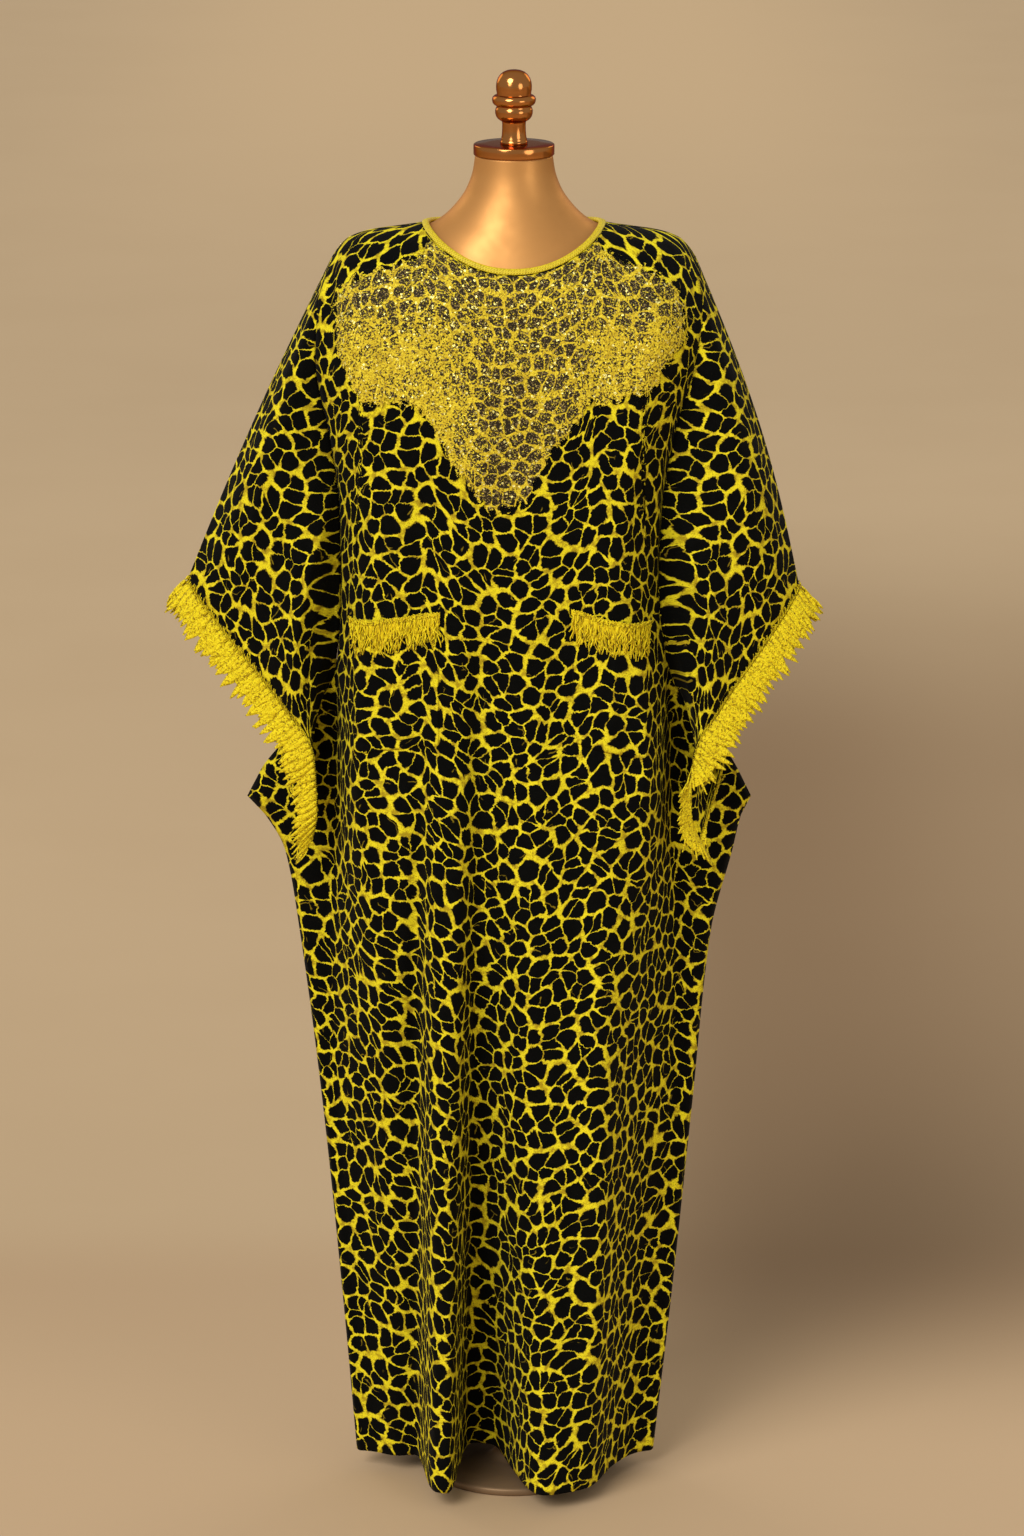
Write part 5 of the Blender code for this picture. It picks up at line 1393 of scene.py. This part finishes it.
def add_fringe(side, trim):
    """Fringe of a pocket: a narrow header, three layers of uneven strands and short tufts above."""
    chance = random.Random(FRINGE_SEEDS[side])
    x_from, x_to = POCKETS[side][:2]
    bm = bmesh.new()
    x = np.linspace(x_from - 0.002, x_to + 0.002, 161)
    z = mouth_height(side, x) + FRINGE_OVERHANG - FRINGE_HEADER * np.linspace(0, 1, 7)[:, None]
    z = z + 0.0006 * np.sin(x * 1900)
    points, normals = face_point(np.broadcast_to(x, z.shape), z)
    lift = 0.0034 + 0.0005 * np.sin(x * 2400 + z * 900)
    fill_grid(bm, points + normals * lift[..., None], (0, -1, 0))
    for layer, share in enumerate(FRINGE_LAYERS):
        for k in range(trim.strands):
            start = x_from + (x_to - x_from) * (k + chance.uniform(0.1, 0.9)) / trim.strands
            total = trim.fringe_length * chance.uniform(0.72, 1.08) * share
            lean = chance.uniform(-0.006, 0.006)
            curl = chance.uniform(-0.0026, 0.0026)
            turn = chance.uniform(0, 6.3)
            t = np.linspace(0, 1, FRINGE_STEPS)
            sx = start + lean * t * t + curl * np.sin(turn + 10 * t) * t**0.5
            sz = mouth_height(side, start) + FRINGE_OVERHANG - FRINGE_HEADER * 0.7 - total * t
            spine, out = face_point(sx, sz)
            spine = spine + out * (0.0024 + 0.0010 * layer + 0.0008 * np.sin(turn + 5 * t))[:, None]
            radius = FRINGE_RADIUS * (1.1 - 0.45 * t)
            beside = unit(np.cross(out, np.gradient(spine, axis=0)))
            ring = []
            for angle in (0, math.pi / 2, math.pi, 3 * math.pi / 2):
                around = beside * math.cos(angle) + out * math.sin(angle)
                ring.append(spine + around * radius[:, None])
            fill_grid(bm, np.array(ring).transpose(1, 0, 2), spine.mean(axis=0), closed=True)
    open_edges = [edge for edge in bm.edges if edge.is_boundary]
    bmesh.ops.holes_fill(bm, edges=open_edges, sides=4)
    # The fringe's drawn-out dark grain paints streaks of shade between the strands.
    yarn = own("yellow fringe", lace_maker(0.16))
    name, node = "pocket_fringe_strands_" + side, "pocket_fringe_" + side
    return finish_piece(name, bm, yarn, node)


class ROBE_OT_binding(bpy.types.Operator):
    """Band round the neck opening"""

    bl_idname = "robe.binding"
    bl_label = "Neck binding"

    def execute(self, context):
        front, back = panel("front")[0], panel("back")[0]
        front_out, back_out = grid_normals(front), grid_normals(back)
        a, b = FRONT_COLUMNS[0], FRONT_COLUMNS[0] + FRONT_COLUMNS[1]
        c, d = BACK_COLUMNS[0], BACK_COLUMNS[0] + BACK_COLUMNS[1]
        ring = np.vstack([front[0, a : b + 1], back[0, c + 1 : d][::-1]])
        normal = np.vstack([front_out[0, a : b + 1], back_out[0, c + 1 : d][::-1]])
        ring, normal = even_ring(ring, BINDING_STEPS), even_ring(normal, BINDING_STEPS)
        for _ in range(BINDING_SMOOTHING):
            normal = unit(np.roll(normal, 1, axis=0) + 2 * normal + np.roll(normal, -1, axis=0))
        tangent = unit(np.roll(ring, -1, axis=0) - np.roll(ring, 1, axis=0))
        out = unit(np.cross(tangent, normal))
        if (out * (ring - ring.mean(axis=0)))[:, :2].sum() < 0:
            out = -out
        cloth = BVHTree.FromPolygons(*join_grids([front, back]))
        rows = []
        for reach, lift in BINDING_SECTION:
            line = ring + out * reach
            if reach > 0.001:
                line = np.array([cloth.find_nearest(Vector(p))[0] for p in line])
            rows.append(line + normal * (lift + 0.0004))
        bm = bmesh.new()
        fill_grid(bm, np.array(rows), ring.mean(axis=0) - np.array((0, 0, 0.2)), closed=True)
        band = own("neck band", make_binding)
        finish_piece("neck_binding_band", bm, band, "neck_binding", BINDING_WALL)
        return {"FINISHED"}


def join_grids(grids):
    """The points and four-cornered faces of several grids, as lists for a search tree."""
    points, faces = [], []
    for grid in grids:
        rows, columns = grid.shape[:2]
        start = len(points)
        points.extend(Vector(p) for p in grid.reshape(-1, 3))
        for r in range(rows - 1):
            for c in range(columns - 1):
                k = start + r * columns + c
                faces.append((k, k + 1, k + columns + 1, k + columns))
    return points, faces


class ROBE_OT_form(bpy.types.Operator):
    """Dress form with its cap and finial, pole and foot"""

    bl_idname = "robe.form"
    bl_label = "Dress form"

    def execute(self, context):
        table = [(k, *row) for k, row in enumerate(FORM_RINGS)]
        names = ("ring", *FORM_COLUMNS)
        at = np.linspace(0, len(FORM_RINGS) - 1, FORM_ROWS)
        read = {name: smooth_read(table, names, name, at)[:, None] for name in FORM_COLUMNS}
        angle = np.arange(FORM_STEPS) * 2 * math.pi / FORM_STEPS
        sine = np.sin(angle)
        x = read["half_width"] * np.cos(angle)
        y = np.where(sine < 0, read["front"], read["back"]) * sine
        end = np.where(sine < 0, read["front_height"], read["back_height"])
        z = read["side_height"] + (end - read["side_height"]) * sine**2
        rings = np.stack([x, y, z], axis=2)
        top = rings[0] * (0.02, 0.02, 1)
        low = rings[-1] * (0.98, 0.98, 1) - (0, 0, 0.0006)
        hole = np.stack([np.cos(angle) * POLE_RADIUS, sine * POLE_RADIUS, low[:, 2]], axis=1)
        rings = np.concatenate([top[None], rings, low[None], hole[None]])
        bm = bmesh.new()
        fill_grid(bm, rings, (0, 0, 1.2), closed=True)
        skin, copper, bronze = (own(name, metal_maker(*values)) for name, values in METALS.items())
        finish_piece("form_body", bm, skin, "form_torso")
        cap, knob = FORM_TOP + PART_GAP, FORM_TOP + CAP_THICKNESS + 2 * PART_GAP
        turn_profile("cap_disc", CAP_PROFILE, cap, copper, "neck_cap")
        turn_profile("finial_knob", FINIAL, knob, copper, "finial")
        turn_profile("stand_pole", POLE_PROFILE, 0, bronze, "pole")
        turn_profile("stand_foot", FOOT_PROFILE, 0, bronze, "base")
        return {"FINISHED"}


def facing(way):
    """The turn that makes a lamp look that way."""
    return Vector(way).to_track_quat("-Z", "Y").to_euler()


class ROBE_OT_stage(bpy.types.Operator):
    """Pale floor, soft lamps and the camera at the photograph's angle"""

    bl_idname = "robe.stage"
    bl_label = "Stage"

    def execute(self, context):
        stage = context.scene.robe_stage
        bm = bmesh.new()
        bmesh.ops.create_grid(bm, x_segments=8, y_segments=8, size=FLOOR_HALF)
        object_of("floor", bm, own("studio floor", make_floor))
        sun = bpy.data.lights.new("daylight", "SUN")
        sun.energy, sun.angle, sun.color = stage.sun_strength, SUN_ANGLE, SUN_COLOUR
        add_to_scene("daylight", sun).rotation_euler = facing(SUN_WAY)
        for name, spot, size, power in LAMPS:
            lamp = bpy.data.lights.new(name, "AREA")
            lamp.shape, lamp.size, lamp.color = "DISK", size, LAMP_COLOUR
            lamp.energy = getattr(stage, power)
            holder = add_to_scene(name, lamp)
            holder.location = spot
            holder.rotation_euler = facing(LAMP_AIM - Vector(spot))
        world = bpy.data.worlds.new("studio")
        world.use_nodes = True
        back = world.node_tree.nodes["Background"].inputs
        back["Color"].default_value = ROOM_COLOUR
        back["Strength"].default_value = stage.room_light
        context.scene.world = world
        context.scene.view_settings.view_transform = "Standard"
        camera = bpy.data.cameras.new("camera")
        camera.sensor_width, camera.lens = CAMERA_SENSOR, CAMERA_LENS
        holder = add_to_scene("camera", camera)
        holder.location = CAMERA_PLACE
        holder.rotation_euler = (math.radians(90) - CAMERA_PITCH, 0, 0)
        context.scene.camera = holder
        return {"FINISHED"}


class ROBE_PT_sidebar(bpy.types.Panel):
    """Settings and steps of the robe"""

    bl_idname = "ROBE_PT_sidebar"
    bl_label = "Grand boubou robe"
    bl_space_type = "VIEW_3D"
    bl_region_type = "UI"
    bl_category = "Robe"

    def draw(self, context):
        for owner in SETTINGS:
            group = getattr(context.scene, owner)
            for name in group.bl_rna.properties.keys():
                if name not in ("rna_type", "name"):
                    self.layout.prop(group, name)
        for step in STEPS:
            self.layout.operator(step.bl_idname)


SETTINGS = {
    "robe_cloth": ClothSettings, "robe_trim": TrimSettings, "robe_form": FormSettings,
    "robe_stage": StageSettings,
}
STEPS = (
    ROBE_OT_stage, ROBE_OT_form, ROBE_OT_panels, ROBE_OT_sleeves, ROBE_OT_yoke, ROBE_OT_pockets,
    ROBE_OT_binding,
)


def register():
    for name, group in SETTINGS.items():
        bpy.utils.register_class(group)
        setattr(bpy.types.Scene, name, PointerProperty(type=group))
    for step in STEPS:
        bpy.utils.register_class(step)
    bpy.utils.register_class(ROBE_PT_sidebar)


def unregister():
    bpy.utils.unregister_class(ROBE_PT_sidebar)
    for step in reversed(STEPS):
        bpy.utils.unregister_class(step)
    for name, group in SETTINGS.items():
        delattr(bpy.types.Scene, name)
        bpy.utils.unregister_class(group)


def main():
    for old in [o for o in bpy.data.objects if o.name in ("Cube", "Light", "Camera")]:
        bpy.data.objects.remove(old)
    register()
    for step in STEPS:
        group, name = step.bl_idname.split(".")
        getattr(getattr(bpy.ops, group), name)()


if __name__ == "__main__":
    main()
